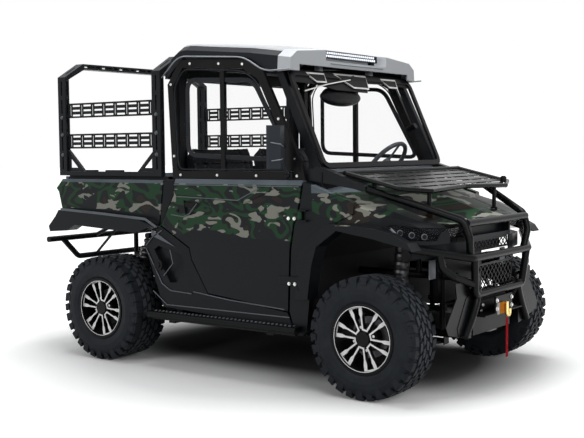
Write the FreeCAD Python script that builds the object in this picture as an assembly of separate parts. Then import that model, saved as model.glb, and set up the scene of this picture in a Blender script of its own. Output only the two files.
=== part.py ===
import FreeCAD, Part

import math
import os

# Side by side utility vehicle with a closed two-door cab, a tilting cargo bed and a bed rack.
# Frame: +X forward, +Y to the left, +Z up, millimetres. The origin is on the ground under the
# middle of the whole vehicle.

# Driving dimensions
WHEELBASE = 1965.0
AXLE_MID_X = 81.5
TYRE_OD = 660.0
HALF_BODY = 745.0
CAB_HEIGHT = 1961.0
TYRE_STANDOUT = 85.0
DOOR_T = 45.0
FLOOR_INSET = 8.0
CAGE_INSET = 24.0
CAGE_W = 38.0

REAR_AXLE_X = AXLE_MID_X - WHEELBASE / 2
FRONT_AXLE_X = AXLE_MID_X + WHEELBASE / 2
HUB_Z = TYRE_OD / 2
DOOR_INNER_Y = HALF_BODY - DOOR_T
FLOOR_HALF = DOOR_INNER_Y - FLOOR_INSET
CAGE_Y1 = FLOOR_HALF - CAGE_INSET
CAGE_Y0 = CAGE_Y1 - CAGE_W

# Gaps and cutting overrun
RUN_CLEARANCE = 0.05
PANEL_GAP = 6.0
OVERRUN = 20.0
OPEN_EYE_GAP = 1.0
SEAT_GAP = 0.3

# Wheels
FRONT_TYRE_W = 229.0
REAR_TYRE_W = 279.0
TYRE_FACE_Y = HALF_BODY + TYRE_STANDOUT
TREAD_H = 18.0
BEAD_R = 178.0
RIM_LIP_R = 198.0
RIM_LIP_W = 14.0
RIM_WALL = 7.0
RIM_FACE_INSET = 16.0
SHOULDER_R = TYRE_OD / 2 - TREAD_H
SIDEWALL_BULGE_R = (RIM_LIP_R + SHOULDER_R) / 2
SHOULDER_INSET = 8.0
TREAD_INSET = 34.0
SPOKE_PAIRS = 6
SPOKE_TURN = -17.0
SPOKE_W_HUB = 10.0
SPOKE_W_RIM = 21.0
SPOKE_DEPTH = 26.0
SPOKE_SPREAD_HUB = 14.5
SPOKE_SPREAD_RIM = 11.0
SPOKE_ROOT_R = 50.0
SPOKE_WIDEN_R = 112.0
SPOKE_TIE_W = 8.0
HUB_R = 76.0
HUB_DEPTH = 70.0
CAP_R = 40.0
CAP_H = 8.0
LUG_NUTS = 4
LUG_NUT_CIRCLE_R = 62.0
LUG_NUT_R = 8.0
LUG_NUT_H = 12.0
SPINDLE_R = 20.0

# Steering and suspension
KINGPIN_INSET = 190.0
KINGPIN_Y = TYRE_FACE_Y - KINGPIN_INSET
KINGPIN_R = 8.0
BALL_SPREAD = 92.0
KNUCKLE_T = 42.0
KNUCKLE_W = 60.0
KNUCKLE_HALF_H = 70.0
LUG_H = 16.0
STEER_ARM_R = 100.0
STEER_ARM_W = 30.0
STEER_ARM_T = 12.0
DISC_R = 112.0
DISC_T = 8.0
TIE_ROD_R = 6.0
TIE_EYE_R = 14.0
TIE_EYE_HALF = 8.0
TIE_BALL_R = 16.0
RACK_R = 12.0
RACK_BACK = 230.0
RACK_HALF = 200.0
RACK_HOUSING_HALF = 110.0
ARM_TUBE_R = 15.0
ARM_LEG_R = 13.0
BALL_R = 18.0
ARM_PIVOT_Y = 175.0
ARM_SPREAD_X = 140.0
UPPER_ARM_SPREAD_X = 90.0
SHOCK_BODY_R = 24.0
SHOCK_EYE_HALF = 28.0
SPRING_R = 44.0
SPRING_WIRE_R = 6.0
SPRING_TURNS = 6
SHOCK_FOOT_INSET = 190.0
SHOCK_LEAN = 75.0
SHOCK_FOOT_Y = KINGPIN_Y - SHOCK_FOOT_INSET
SHOCK_HEAD_Y = SHOCK_FOOT_Y - SHOCK_LEAN
FRONT_SHOCK_HEAD_SHARE = 0.4335
REAR_SHOCK_HEAD_SHARE = 0.3697
FRONT_SHOCK_HEAD_Z = CAB_HEIGHT * FRONT_SHOCK_HEAD_SHARE
REAR_SHOCK_HEAD_Z = CAB_HEIGHT * REAR_SHOCK_HEAD_SHARE
SPRING_START_SHARE = 0.2
SPRING_END_SHARE = 0.86
SHAFT_R = 14.0
BOOT_R = 36.0
BOOT_LENGTH = 40.0
DIFF_HALF_Y = 95.0
DIFF_HALF_H = 55.0
ENGINE_HALF_Y = 150.0
ENGINE_X_SHARES = (-0.08, 0.2)

# Chassis tubes
RAIL_DROP = 40.0
RAIL_Z = HUB_Z - RAIL_DROP
RAIL_Y = 215.0
RAIL_R = 22.0
SILL_INSET = 132.0
SILL_RAIL_Y = FLOOR_HALF - SILL_INSET
FRAME_UPPER_SHARE = 0.311
FRAME_UPPER_Z = CAB_HEIGHT * FRAME_UPPER_SHARE
CROSS_R = 19.0
CROSS_OFFSET = 170.0
TOWER_OFFSET = 150.0
BRACKET_T = 6.0
POST_R = 16.0
RAIL_SHARES = (-0.14, 1.125)
SILL_SHARES = (0.235, 0.74)
REAR_UPPER_END_SHARE = 0.235
FRONT_UPPER_START_SHARE = 0.8

SKID_T = 6.0
SKID_TAIL_HALF = 150.0
SKID_TAIL_SHARE = -0.11
SHEET_T = 5.0
FLOOR_Z = RAIL_Z + RAIL_R

# Cab
CAB_INNER_Y = CAGE_Y0
CAGE_CROSS_R = 18.0
GLASS_T = 6.0
WINDSHIELD_INSET = 12.0
WINDSHIELD_HALF = CAGE_Y0 - WINDSHIELD_INSET
CAB_BACK_X_SHARE = 0.2625
REAR_WINDOW_INSET = 90.0
REAR_WINDOW_HALF = CAGE_Y0 - REAR_WINDOW_INSET
REAR_WINDOW_SHARES = (0.62, 0.9)
CAGE_OUTER_SHARES = [
    (0.2655, 0.162), (0.2655, 0.91), (0.313, 0.956), (0.572, 0.943), (0.685, 0.905),
    (0.822, 0.62), (0.822, 0.582), (0.789, 0.51), (0.789, 0.162),
]
CAGE_INNER_SHARES = [
    (0.763, 0.162), (0.763, 0.514), (0.794, 0.588), (0.792, 0.612), (0.668, 0.892),
    (0.567, 0.925), (0.323, 0.938), (0.29, 0.905), (0.29, 0.162),
]
CAGE_CROSS_SHARES = [(0.675, 0.896), (0.305, 0.935), (0.776, 0.455)]
FIREWALL_SHARES = [(0.79, 0.162), (0.79, 0.362), (0.828, 0.46), (0.828, 0.6095)]
DASH_SHARES = [
    (0.825, 0.606), (0.79, 0.624), (0.745, 0.605), (0.715, 0.56), (0.735, 0.49), (0.785, 0.48),
    (0.826, 0.56),
]
SEAT_INNER_Y = 40.0
SEAT_OUTER_INSET = 70.0
SEAT_OUTER_Y = CAGE_Y0 - SEAT_OUTER_INSET
SEAT_BASE_SHARES = [(0.285, 0.1), (0.285, 0.305), (0.5, 0.325), (0.53, 0.305), (0.53, 0.1)]
CUSHION_SHARES = [
    (0.3, 0.3066), (0.3, 0.365), (0.53, 0.385), (0.548, 0.365), (0.545, 0.328), (0.5, 0.3252),
]
BACKREST_SHARES = [
    (0.3, 0.3652), (0.272, 0.66), (0.3, 0.685), (0.322, 0.65), (0.36, 0.42), (0.365, 0.3709),
]
WINDSHIELD_SHARES = [(0.8305, 0.6097), (0.697, 0.908)]
WHEEL_CENTRE_SHARES = (0.715, 0.625)
WHEEL_Y = 350.0
WHEEL_R = 165.0
WHEEL_GRIP_R = 14.0
WHEEL_HUB_R = 38.0
WHEEL_PIN_L = 40.0
COLUMN_PIN_R = 10.0
COLUMN_R = 26.0
COLUMN_LENGTH = 190.0
COLUMN_ANGLE = 40.0
SPOKE_ANGLES = (0, 140, 220)
GRIP_SIDES = 8

# Roof
ROOF_INSET = 2.0
ROOF_DRAFT = 8.0
ROOF_SHOULDER_W = 70.0
ROOF_HALF = FLOOR_HALF - ROOF_INSET
ROOF_HALF_MID = ROOF_HALF - ROOF_DRAFT
ROOF_HALF_TOP = ROOF_HALF - ROOF_SHOULDER_W
ROOF_CROWN = 25.0
ROOF_SHOULDER_DROP = 40.0
ROOF_SKIRT_DROP = 136.0
ROOF_T = 10.0
ROOF_SHARES = [
    (0.239, 0.936), (0.267, 0.978), (0.298, 0.998), (0.325, 1.0), (0.573, 0.977), (0.723, 0.956),
]
ROOF_BAND_SHARES = [
    (0.2, 0.89), (0.249, 0.8975), (0.3175, 0.959), (0.574, 0.942), (0.648, 0.897), (0.74, 0.9),
    (0.74, 0.8), (0.2, 0.8),
]
ROOF_FRONT_LIP_SHARE = 0.918
ROOF_REAR_LIP_SHARE = 0.892
LIGHT_BAR_SHARE = 0.4027
LIGHT_BAR_HALF = HALF_BODY * LIGHT_BAR_SHARE
LIGHT_BAR_DEPTH = 42.0
LIGHT_BAR_HEIGHT = 40.0
LIGHT_BAR_SHARES = (0.677, 0.949)
ROOF_NOTCH_MARGIN = 35.0
ROOF_NOTCH_HALF = LIGHT_BAR_HALF + ROOF_NOTCH_MARGIN
ROOF_NOTCH_SHARES = (0.66, 0.936)
ROOF_PAD_Y = 260.0

# Doors
DOOR_FRAME_T = 24.0
DOOR_FRAME_Y0 = FLOOR_HALF + OPEN_EYE_GAP
DOOR_FRAME_Y1 = DOOR_FRAME_Y0 + DOOR_FRAME_T
HINGE_PIN_R = 6.0
HINGE_LEAF_T = 8.0
HINGE_HEIGHT = 46.0
HINGE_X_SHARE = 0.7785
HINGE_OUT = 14.0
HINGE_Z_SHARES = (0.2925, 0.4785)
HINGE_LEAF_SHARE = 0.724
DOOR_SHARES = [
    (0.297, 0.588), (0.296, 0.538), (0.24, 0.4435), (0.356, 0.38), (0.366, 0.343), (0.429, 0.2445),
    (0.572, 0.231), (0.7275, 0.2145), (0.735, 0.393), (0.747, 0.462), (0.766, 0.512), (0.78, 0.588),
]
DOOR_FRAME_OUTER_SHARES = [
    (0.28, 0.588), (0.264, 0.877), (0.315, 0.949), (0.57, 0.935), (0.636, 0.9), (0.772, 0.63),
    (0.782, 0.588),
]
DOOR_FRAME_INNER_SHARES = [
    (0.3, 0.612), (0.286, 0.868), (0.327, 0.926), (0.56, 0.911), (0.617, 0.878), (0.737, 0.638),
    (0.742, 0.612),
]
WINDOW_BAR_SHARES = (0.474, 0.49)
BELT_DEPTH = 14.0
BELT_LOW_SHARE = 0.571
HANDLE_DEPTH = 16.0
HANDLE_SHARES = [
    (0.3345, 0.5227), (0.4511, 0.5179), (0.4161, 0.4839), (0.3914, 0.4739), (0.3418, 0.4786),
]
CREASE_W = 9.0
CREASE_DEPTH = 5.0
CREASE_SHARES = [(0.31, 0.5402), (0.582, 0.5231), (0.5896, 0.5247), (0.6833, 0.5647)]
DOOR_POCKET_DEPTH = 20.0
DOOR_POCKET_SHARES = [
    (0.34, 0.52), (0.31, 0.44), (0.43, 0.3), (0.57, 0.27), (0.68, 0.265), (0.7, 0.45), (0.74, 0.54),
]
MIRROR_X_SHARE = 0.72
MIRROR_Z_SHARES = (0.622, 0.742)
MIRROR_OUT = 20.0
MIRROR_W = 140.0
MIRROR_Y0 = HALF_BODY + MIRROR_OUT
MIRROR_Y1 = MIRROR_Y0 + MIRROR_W
MIRROR_T = 34.0
MIRROR_BULGE = 26.0
MIRROR_ARM_Z_SHARE = 0.6
MIRROR_ARM_R = 9.0

# Side panels behind and under the doors
SIDE_INSET = 5.0
SIDE_Y0 = DOOR_INNER_Y
SIDE_Y1 = HALF_BODY - SIDE_INSET
SIDE_PANEL_SHARES = [
    (0.165, 0.3815), (0.226, 0.4335), (0.234, 0.447), (0.2535, 0.5845), (0.2935, 0.5845),
    (0.2925, 0.54), (0.237, 0.444), (0.237, 0.4385), (0.352, 0.376), (0.361, 0.341), (0.426, 0.2405),
    (0.572, 0.2275), (0.724, 0.2105), (0.745, 0.163), (0.286, 0.186), (0.241, 0.188),
]
RECESS_SHARES = [
    (0.206, 0.366), (0.226, 0.378), (0.329, 0.352), (0.334, 0.307), (0.299, 0.268), (0.272, 0.266),
]
STEP_OUT = 45.0
STEP_Y = HALF_BODY + STEP_OUT
STEP_R = 24.0
STEP_SHARES = (0.205, 0.775)
STEP_RISE = 32.0
STEP_Z = RAIL_Z + STEP_RISE
STEP_BRACKET_SHARES = (0.3, 0.68)

# Nose: hood, fenders, front fascia and lamps
NOSE_T = 8.0
NOSE_BASE_Z_SHARE = 0.418
NOSE_STATIONS_SHARES = [
    (0.786, (0.588, 0.585, 0.576, 0.548), (0.604, 0.859, 0.996)),
    (0.913, (0.569, 0.547, 0.541, 0.528), (0.604, 0.859, 0.987)),
    (1.031, (0.532, 0.505, 0.507, 0.500), (0.604, 0.832, 0.966)),
    (1.107, (0.505, 0.478, 0.479, 0.474), (0.577, 0.778, 0.886)),
    (1.148, (0.492, 0.472, 0.462, 0.449), (0.537, 0.698, 0.805)),
    (1.173, (0.482, 0.467, 0.454, 0.444), (0.470, 0.537, 0.591)),
]
HOOD_HALF_SHARE = 0.631
HOOD_HALF = HALF_BODY * HOOD_HALF_SHARE
COLUMN_SHARES = [
    (0.7865, 0.5845), (0.7725, 0.5115), (0.7535, 0.4615), (0.7415, 0.3925), (0.734, 0.213),
    (0.755, 0.149), (0.777, 0.149), (0.793, 0.164), (0.808, 0.301), (0.836, 0.398), (0.882, 0.468),
    (0.95, 0.5), (0.95, 0.53),
]
COLUMN_FOOT_SHARES = (0.757, 0.787)
COLUMN_FOOT_TOP_SHARE = 0.18
FLARE_OUT = 55.0
FLARE_OUT_Y = HALF_BODY + FLARE_OUT
FLARE_OUTER_SHARES = [
    (0.776, 0.254), (0.783, 0.375), (0.797, 0.406), (0.875, 0.472), (1.025, 0.4645), (1.086, 0.452),
    (1.132, 0.429),
]
FLARE_INNER_SHARES = [
    (1.147, 0.4085), (1.109, 0.4192), (1.031, 0.4355), (0.913, 0.4538), (0.846, 0.406),
    (0.8295, 0.352), (0.8155, 0.258),
]
ARCH_SHARES = [
    (0.8155, 0.1), (0.8155, 0.258), (0.8295, 0.352), (0.846, 0.406), (0.913, 0.4538),
    (1.031, 0.4355), (1.109, 0.4192), (1.147, 0.4085), (1.2, 0.4085), (1.2, 0.1),
]
LAMP_DEPTH = 60.0
LAMP_SHARES = [(1.047, 0.4665), (1.062, 0.4705), (1.159, 0.4575), (1.152, 0.43), (1.079, 0.433)]
GRILLE_HALF_SHARE = 0.3356
GRILLE_HALF = HALF_BODY * GRILLE_HALF_SHARE
GRILLE_Z_SHARES = (0.43, 0.468)
GRILLE_DEPTH = 55.0
GRILLE_WALL = 5.0
CHIN_SHARES = [(1.171, 0.33), (1.171, 0.4), (1.15, 0.62), (1.09, 0.8)]
CHIN_LOW_SHARE = 0.377
MESH_T = 4.0
MESH_PITCH = 44.0
MESH_BAR = 7.0
MESH_RIM = 12.0
LOWER_MESH_X_SHARE = 1.1675
LOWER_MESH_SHARES = [(0.31, 0.4178), (0.31, 0.406), (0.3296, 0.384)]
FRONT_MESH_SHARES = [(0.31, 0.351), (0.25, 0.262)]

# Front rack on the hood
DECK_SHARES = [(0.895, 0.6085), (1.1, 0.5605)]
DECK_INSET = 90.0
DECK_HALF = HALF_BODY - DECK_INSET
DECK_T = 5.0
DECK_TUBE_R = 13.0
DECK_BALL_R = 13.8
DECK_FRONT_SHARES = (0.0, 0.7, 1.0)
DECK_FRONT_SHIFTS = (-25.0, 20.0, -60.0)
DECK_SLOT_ROWS = 5
DECK_SLOT_W = 22.0
DECK_SLOT_LENGTH = 190.0
DECK_SLOT_BRIDGE = 32.0
DECK_POST_R = 12.0
DECK_POST_SHARE = 0.537
DECK_POST_Y = HALF_BODY * DECK_POST_SHARE
DECK_PAD_R = 20.0
DECK_PAD_SHARES = [(0.909, 0.5575), (1.086, 0.4935)]
PILLAR_FOOT_W = 47.0
PILLAR_FOOT_Y1 = FLOOR_HALF - SIDE_INSET
PILLAR_FOOT_Y0 = PILLAR_FOOT_Y1 - PILLAR_FOOT_W
PILLAR_FOOT_SHARES = [
    (0.771, 0.588), (0.781, 0.614), (0.812, 0.6275), (0.856, 0.614), (0.97, 0.573), (0.97, 0.56),
    (0.873, 0.575),
]

# Bull bar and winch
BAR_R = 21.0
BAR_BEND = 60.0
BAR_SIDE_SHARES = [
    (0.968, 0.892, 0.5665), (1.186, 0.516, 0.478), (1.202, 0.5, 0.43), (1.196, 0.46, 0.378),
]
BAR_LOWER_SHARES = [(1.112, 0.926, 0.409), (1.208, 0.48, 0.375)]
BAR_CROSS_SHARES = [(1.1935, 0.505, 0.47)]
BAR_FOOT_SHARES = [(1.208, 0.45, 0.375), (1.2, 0.4, 0.27)]
BAR_WING_SHARES = [(1.155, 0.725, 0.395), (1.16, 0.705, 0.352), (1.177, 0.617, 0.327), (1.2, 0.41, 0.3)]
BAR_MOUNT_SHARES = [
    [(1.12, 0.2886, 0.311), (1.2, 0.35, 0.272)], [(1.12, 0.2886, 0.148), (1.2, 0.35, 0.272)],
]
BAR_LEG_T = 8.0
BAR_LEG_SHARES = [(0.385, 0.285), (0.49, 0.262), (0.62, 0.187), (0.60, 0.165), (0.41, 0.15)]
WINCH_R = 46.0
WINCH_HALF = 165.0
WINCH_DECK_SHARE = 0.32
WINCH_X_SHARE = 1.162
WINCH_Z_SHARE = 0.232
FAIRLEAD_X_SHARE = 1.215
FAIRLEAD_HALF = 105.0
FAIRLEAD_T = 10.0
HOOK_R = 9.0
HOOK_DROP = 70.0
STRAP_W = 27.0
STRAP_T = 2.5
STRAP_LENGTH = 225.0

# Cargo bed
BED_PIVOT_SHARES = (-0.14, 0.408)
BED_PIN_R = 12.0
BED_LUG_T = 12.0
BED_X_SHARES = (-0.206, 0.247)
BED_INSET = 57.0
BED_HALF = HALF_BODY - BED_INSET
BED_FLOOR_Z_SHARE = 0.44
BED_TOP_Z_SHARE = 0.594
BED_WALL = 8.0
BED_RIB_W = 34.0
BED_RIB_H = 6.0
BED_RIB_PITCH = 96.0
BED_SIDE_SHARES = [
    (-0.21, 0.583), (-0.242, 0.552), (-0.231, 0.54), (-0.215, 0.4795), (0.133, 0.466),
    (0.218, 0.4405), (0.23, 0.447), (0.249, 0.583),
]
BED_FLARE_SHARES = [
    (-0.215, 0.4795), (-0.231, 0.458), (-0.266, 0.424), (-0.26, 0.4055), (-0.176, 0.4115),
    (-0.138, 0.4315), (0.141, 0.4165), (0.218, 0.4405), (0.133, 0.466),
]
BED_SIDE_INSET = 3.0
BED_FLARE_OUT = 33.0
BED_SIDE_Y1 = HALF_BODY - BED_SIDE_INSET
BED_FLARE_Y1 = HALF_BODY + BED_FLARE_OUT
TAILGATE_T = 28.0
TAILGATE_GAP = 6.0
TAILGATE_HINGE_SHARES = (-0.2215, 0.4465)
TAILGATE_PIN_R = 7.0
TAILGATE_POCKET = 10.0
TAILGATE_MARGIN = 55.0

# Bed rack
HOOP_INSET = 37.0
HOOP_OUTER_Y = HALF_BODY - HOOP_INSET
HOOP_T = 36.0
HOOP_W = 70.0
HOOP_X_SHARES = (-0.2438, 0.191)
HOOP_TOP_SHARE = 0.972
HOOP_CORNER_SHARE = 0.923
HOOP_CORNER_INSET = 163.0
HOOP_CORNER_Y = HOOP_OUTER_Y - HOOP_CORNER_INSET
RACK_PANEL_Z_SHARES = [(0.684, 0.733), (0.786, 0.835)]
RACK_PANEL_T = 5.0
RACK_RAIL_H = 28.0
RACK_TAB_H = 10.0
RACK_TAB_SHARES = [(-0.1155, -0.074), (-0.023, 0.046)]
RACK_SLOT_W = 12.0
RACK_SLOT_LENGTH = 92.0
RACK_SLOT_PITCH = 126.0
RACK_SHORT_SLOT = 36.0
RACK_END_PLATE = 30.0
RACK_BAY = 104.0
RACK_BAY_SLOTS = (0.18, 0.5, 0.82)
RACK_BAY_SLOT_SHARE = 0.7
RACK_BAY_SLOT_H = 11.0
RACK_UPRIGHT_SLOT_W = 8.0
RACK_UPRIGHT_SLOT_SHARE = 0.7
GUSSET_L = 150.0
GUSSET_H = 140.0
GUSSET_T = 5.0
GUSSET_MEMBER = 24.0
GUSSET_FLANGE = 30.0

# Rear bumper
BUMPER_X_SHARE = -0.302
BUMPER_Z_SHARES = (0.374, 0.305)
BUMPER_INSET = 23.0
BUMPER_HALF = HALF_BODY - BUMPER_INSET
BUMPER_R = 19.0
BUMPER_ARM_SHARE = 0.4027
BUMPER_ARM_Y = HALF_BODY * BUMPER_ARM_SHARE
BUMPER_FALL_SHARES = (0.805, 0.617)
BUMPER_BRACE_W = 26.0
BUMPER_BRACE_T = 6.0

# Hitch
HITCH_TUBE = 63.5
HITCH_WALL = 6.0
HITCH_LENGTH = 120.0
HITCH_PIN_BACK = 80.0
HITCH_PIN_R = 8.0


def along(share):
    """X at a share of the wheelbase, counted forward from the rear axle."""
    return REAR_AXLE_X + share * WHEELBASE


def up(share):
    """Z at a share of the cab height, counted from the ground."""
    return share * CAB_HEIGHT


def out(share):
    """Distance from the centre plane at a share of the body's half width."""
    return share * HALF_BODY


def side_points(shares):
    return [(along(x), up(z)) for x, z in shares]


def vec(x, y, z):
    return FreeCAD.Vector(x, y, z)


def mirrored(shape):
    return shape.mirror(vec(0, 0, 0), vec(0, 1, 0))


def both(shape):
    return Part.makeCompound([shape, mirrored(shape)])


def fused(shapes):
    whole = shapes[0].multiFuse(shapes[1:])
    return whole.removeSplitter()


def box(x0, x1, y0, y1, z0, z1):
    return Part.makeBox(x1 - x0, y1 - y0, z1 - z0, vec(x0, y0, z0))


def side_prism(points, y0, y1):
    """Outline in the XZ plane, extruded from y0 to y1."""
    corners = [vec(x, y0, z) for x, z in points]
    face = Part.Face(Part.makePolygon(corners + corners[:1]))
    return face.extrude(vec(0, y1 - y0, 0))


def front_prism(points, x0, x1):
    """Outline in the YZ plane, extruded from x0 to x1."""
    corners = [vec(x0, y, z) for y, z in points]
    face = Part.Face(Part.makePolygon(corners + corners[:1]))
    return face.extrude(vec(x1 - x0, 0, 0))


def plan_prism(points, z0, z1):
    """Outline in the XY plane, extruded from z0 to z1."""
    corners = [vec(x, y, z0) for x, y in points]
    face = Part.Face(Part.makePolygon(corners + corners[:1]))
    return face.extrude(vec(0, 0, z1 - z0))


def rod(start, end, radius):
    axis = end - start
    return Part.makeCylinder(radius, axis.Length, start, axis)


def spaced(start, end, pitch):
    """Middles of the equal bays, each about pitch long, that fill the run from start to end."""
    count = max(1, round((end - start) / pitch))
    bay = (end - start) / count
    return [start + bay * (index + 1 / 2) for index in range(count)]


def tube(points, radius, bend):
    """Round bar along straight runs that are joined by tangent arcs of radius bend."""
    edges = []
    start = points[0]
    for before, corner, after in zip(points, points[1:], points[2:]):
        toward = (before - corner).normalize()
        away = (after - corner).normalize()
        half = toward.getAngle(away) / 2
        reach = bend / math.tan(half)
        enter = corner + toward * reach
        leave = corner + away * reach
        bisector = (toward + away).normalize()
        middle = corner + bisector * (bend / math.sin(half) - bend)
        edges.append(Part.LineSegment(start, enter).toShape())
        edges.append(Part.Arc(enter, middle, leave).toShape())
        start = leave
    edges.append(Part.LineSegment(start, points[-1]).toShape())
    path = Part.Wire(edges)
    ring = Part.Wire([Part.Circle(points[0], points[1] - points[0], radius).toShape()])
    return path.makePipeShell([ring], True, False)


def revolved(profile, axis_x, axis_z):
    """Closed (radius, y) outline turned about the wheel axis, which lies along Y."""
    corners = [vec(axis_x + radius, y, axis_z) for radius, y in profile]
    face = Part.Face(Part.makePolygon(corners + corners[:1]))
    return face.revolve(vec(axis_x, 0, axis_z), vec(0, 1, 0), 360)


# Wheels and hubs


def tyre(axis_x, width):
    outer = TYRE_FACE_Y
    inner = TYRE_FACE_Y - width
    radius = TYRE_OD / 2
    bead = RIM_LIP_W
    profile = [
        (BEAD_R, inner + bead),
        (RIM_LIP_R, inner + bead / 2),
        (SIDEWALL_BULGE_R, inner),
        (SHOULDER_R, inner + SHOULDER_INSET),
        (radius, inner + TREAD_INSET),
        (radius, outer - TREAD_INSET),
        (SHOULDER_R, outer - SHOULDER_INSET),
        (SIDEWALL_BULGE_R, outer),
        (RIM_LIP_R, outer - bead / 2),
        (BEAD_R, outer - bead),
    ]
    return revolved(profile, axis_x, HUB_Z)


def spoke_pair(axis_x, face_y, angle):
    """Two bars that widen outwards, tied at the lip and, half a turn on, to the next pair."""
    rim_reach = BEAD_R - RIM_WALL / 2
    hub_turn = math.radians(SPOKE_SPREAD_HUB)
    rim_turn = math.radians(SPOKE_SPREAD_RIM)
    root = (SPOKE_ROOT_R * math.sin(hub_turn), SPOKE_ROOT_R * math.cos(hub_turn))
    tip = (rim_reach * math.sin(rim_turn), rim_reach * math.cos(rim_turn))
    way = (SPOKE_WIDEN_R - SPOKE_ROOT_R) / (rim_reach - SPOKE_ROOT_R)
    knee = (root[0] + (tip[0] - root[0]) * way, root[1] + (tip[1] - root[1]) * way)
    beyond = (knee[0] + SPOKE_W_HUB / 4, knee[1] + SPOKE_W_RIM)
    narrow = SPOKE_W_HUB / 2
    wide = SPOKE_W_RIM / 2
    outline = [
        (root[0] - narrow, root[1]), (root[0] + narrow, root[1]), (knee[0] + narrow, knee[1]),
        (beyond[0] + wide, beyond[1]), (tip[0] + wide, tip[1]), (tip[0] - wide, tip[1]),
        (beyond[0] - wide, beyond[1]), (knee[0] - narrow, knee[1]),
    ]
    low = face_y - SPOKE_DEPTH
    bars = []
    for side in (-1, 1):
        bars.append(side_prism([(axis_x + side * x, HUB_Z + z) for x, z in outline], low, face_y))
    bars.append(box(axis_x - tip[0], axis_x + tip[0], low, face_y, HUB_Z + tip[1] - SPOKE_TIE_W,
                    HUB_Z + tip[1]))
    link_half = SPOKE_ROOT_R * math.sin(math.pi / SPOKE_PAIRS - hub_turn) + narrow
    link_z = HUB_Z + SPOKE_ROOT_R * math.cos(math.pi / SPOKE_PAIRS - hub_turn)
    link = box(axis_x - link_half, axis_x + link_half, low, face_y, link_z - narrow, link_z + narrow)
    link.rotate(vec(axis_x, 0, HUB_Z), vec(0, 1, 0), 180 / SPOKE_PAIRS)
    bars.append(link)
    for bar in bars:
        bar.rotate(vec(axis_x, 0, HUB_Z), vec(0, 1, 0), angle)
    return bars


def lug_nuts(axis_x, seat_y):
    """Nuts of one wheel, standing on the hub plate."""
    nuts = []
    for index in range(LUG_NUTS):
        turn = math.radians(SPOKE_TURN + index * 360 / LUG_NUTS)
        x = axis_x + LUG_NUT_CIRCLE_R * math.sin(turn)
        z = HUB_Z + LUG_NUT_CIRCLE_R * math.cos(turn)
        nuts.append(rod(vec(x, seat_y - LUG_NUT_H, z), vec(x, seat_y + LUG_NUT_H, z), LUG_NUT_R))
    return nuts


def rim(axis_x, width):
    outer = TYRE_FACE_Y - RIM_LIP_W / 2
    inner = TYRE_FACE_Y - width + RIM_LIP_W / 2
    lip = RIM_LIP_W / 2
    face_y = outer - RIM_FACE_INSET
    hub_plate_y = face_y - SPOKE_DEPTH * 3 / 4
    barrel = revolved([
        (BEAD_R - RIM_WALL, inner),
        (RIM_LIP_R - lip, inner),
        (BEAD_R, inner + lip),
        (BEAD_R, outer - lip),
        (RIM_LIP_R - lip, outer),
        (BEAD_R - RIM_WALL, outer),
    ], axis_x, HUB_Z)
    hub = revolved([
        (SPINDLE_R + RUN_CLEARANCE, face_y - HUB_DEPTH),
        (HUB_R, face_y - HUB_DEPTH),
        (HUB_R, hub_plate_y),
        (CAP_R, hub_plate_y),
        (CAP_R, face_y + CAP_H),
        (0, face_y + CAP_H),
        (0, face_y - CAP_H),
        (SPINDLE_R + RUN_CLEARANCE, face_y - CAP_H),
    ], axis_x, HUB_Z)
    spokes = []
    for index in range(SPOKE_PAIRS):
        spokes += spoke_pair(axis_x, face_y, SPOKE_TURN + index * 360 / SPOKE_PAIRS)
    return fused([barrel, hub] + spokes + lug_nuts(axis_x, hub_plate_y))


def hub_face_y():
    return TYRE_FACE_Y - RIM_LIP_W / 2 - RIM_FACE_INSET


def spindle(axis_x, root_y):
    end = hub_face_y() - CAP_H - OPEN_EYE_GAP
    return rod(vec(axis_x, root_y, HUB_Z), vec(axis_x, end, HUB_Z), SPINDLE_R)


def brake_disc(axis_x, root_y):
    end = hub_face_y() - HUB_DEPTH - OPEN_EYE_GAP
    return rod(vec(axis_x, end - DISC_T, HUB_Z), vec(axis_x, end, HUB_Z), DISC_R).fuse(
        rod(vec(axis_x, root_y, HUB_Z), vec(axis_x, end, HUB_Z), SPINDLE_R * 2))


def knuckle_left():
    """Steered upright with its spindle, brake disc and rearward steering arm."""
    inner = KINGPIN_Y - KNUCKLE_T / 2
    outer = KINGPIN_Y + KNUCKLE_T / 2
    half_w = KNUCKLE_W / 2
    body = box(FRONT_AXLE_X - half_w, FRONT_AXLE_X + half_w, inner, outer,
               HUB_Z - KNUCKLE_HALF_H, HUB_Z + KNUCKLE_HALF_H)
    arm = box(FRONT_AXLE_X - STEER_ARM_R - STEER_ARM_W / 2, FRONT_AXLE_X,
              KINGPIN_Y - STEER_ARM_W / 2, KINGPIN_Y + STEER_ARM_W / 2,
              HUB_Z - STEER_ARM_T / 2, HUB_Z + STEER_ARM_T / 2)
    body = fused([body, arm, spindle(FRONT_AXLE_X, KINGPIN_Y),
                  brake_disc(FRONT_AXLE_X, KINGPIN_Y)])
    bore = KINGPIN_R + RUN_CLEARANCE
    for side in (-1, 1):
        foot = HUB_Z + side * (KNUCKLE_HALF_H - LUG_H)
        tip = HUB_Z + side * (KNUCKLE_HALF_H + OVERRUN)
        body = body.cut(rod(vec(FRONT_AXLE_X, KINGPIN_Y, foot),
                            vec(FRONT_AXLE_X, KINGPIN_Y, tip), bore))
    return body


def ball_pin(hand, side):
    """Upright pin on an arm's end that the knuckle turns on; hand is +1 on the left."""
    y = hand * KINGPIN_Y
    eye = vec(FRONT_AXLE_X, y, HUB_Z + side * BALL_SPREAD)
    tip = vec(FRONT_AXLE_X, y, HUB_Z + side * (KNUCKLE_HALF_H - LUG_H + OPEN_EYE_GAP))
    collar = vec(FRONT_AXLE_X, y, HUB_Z + side * (KNUCKLE_HALF_H + OPEN_EYE_GAP))
    return [rod(eye, tip, KINGPIN_R), rod(eye, collar, ARM_TUBE_R)]


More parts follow.
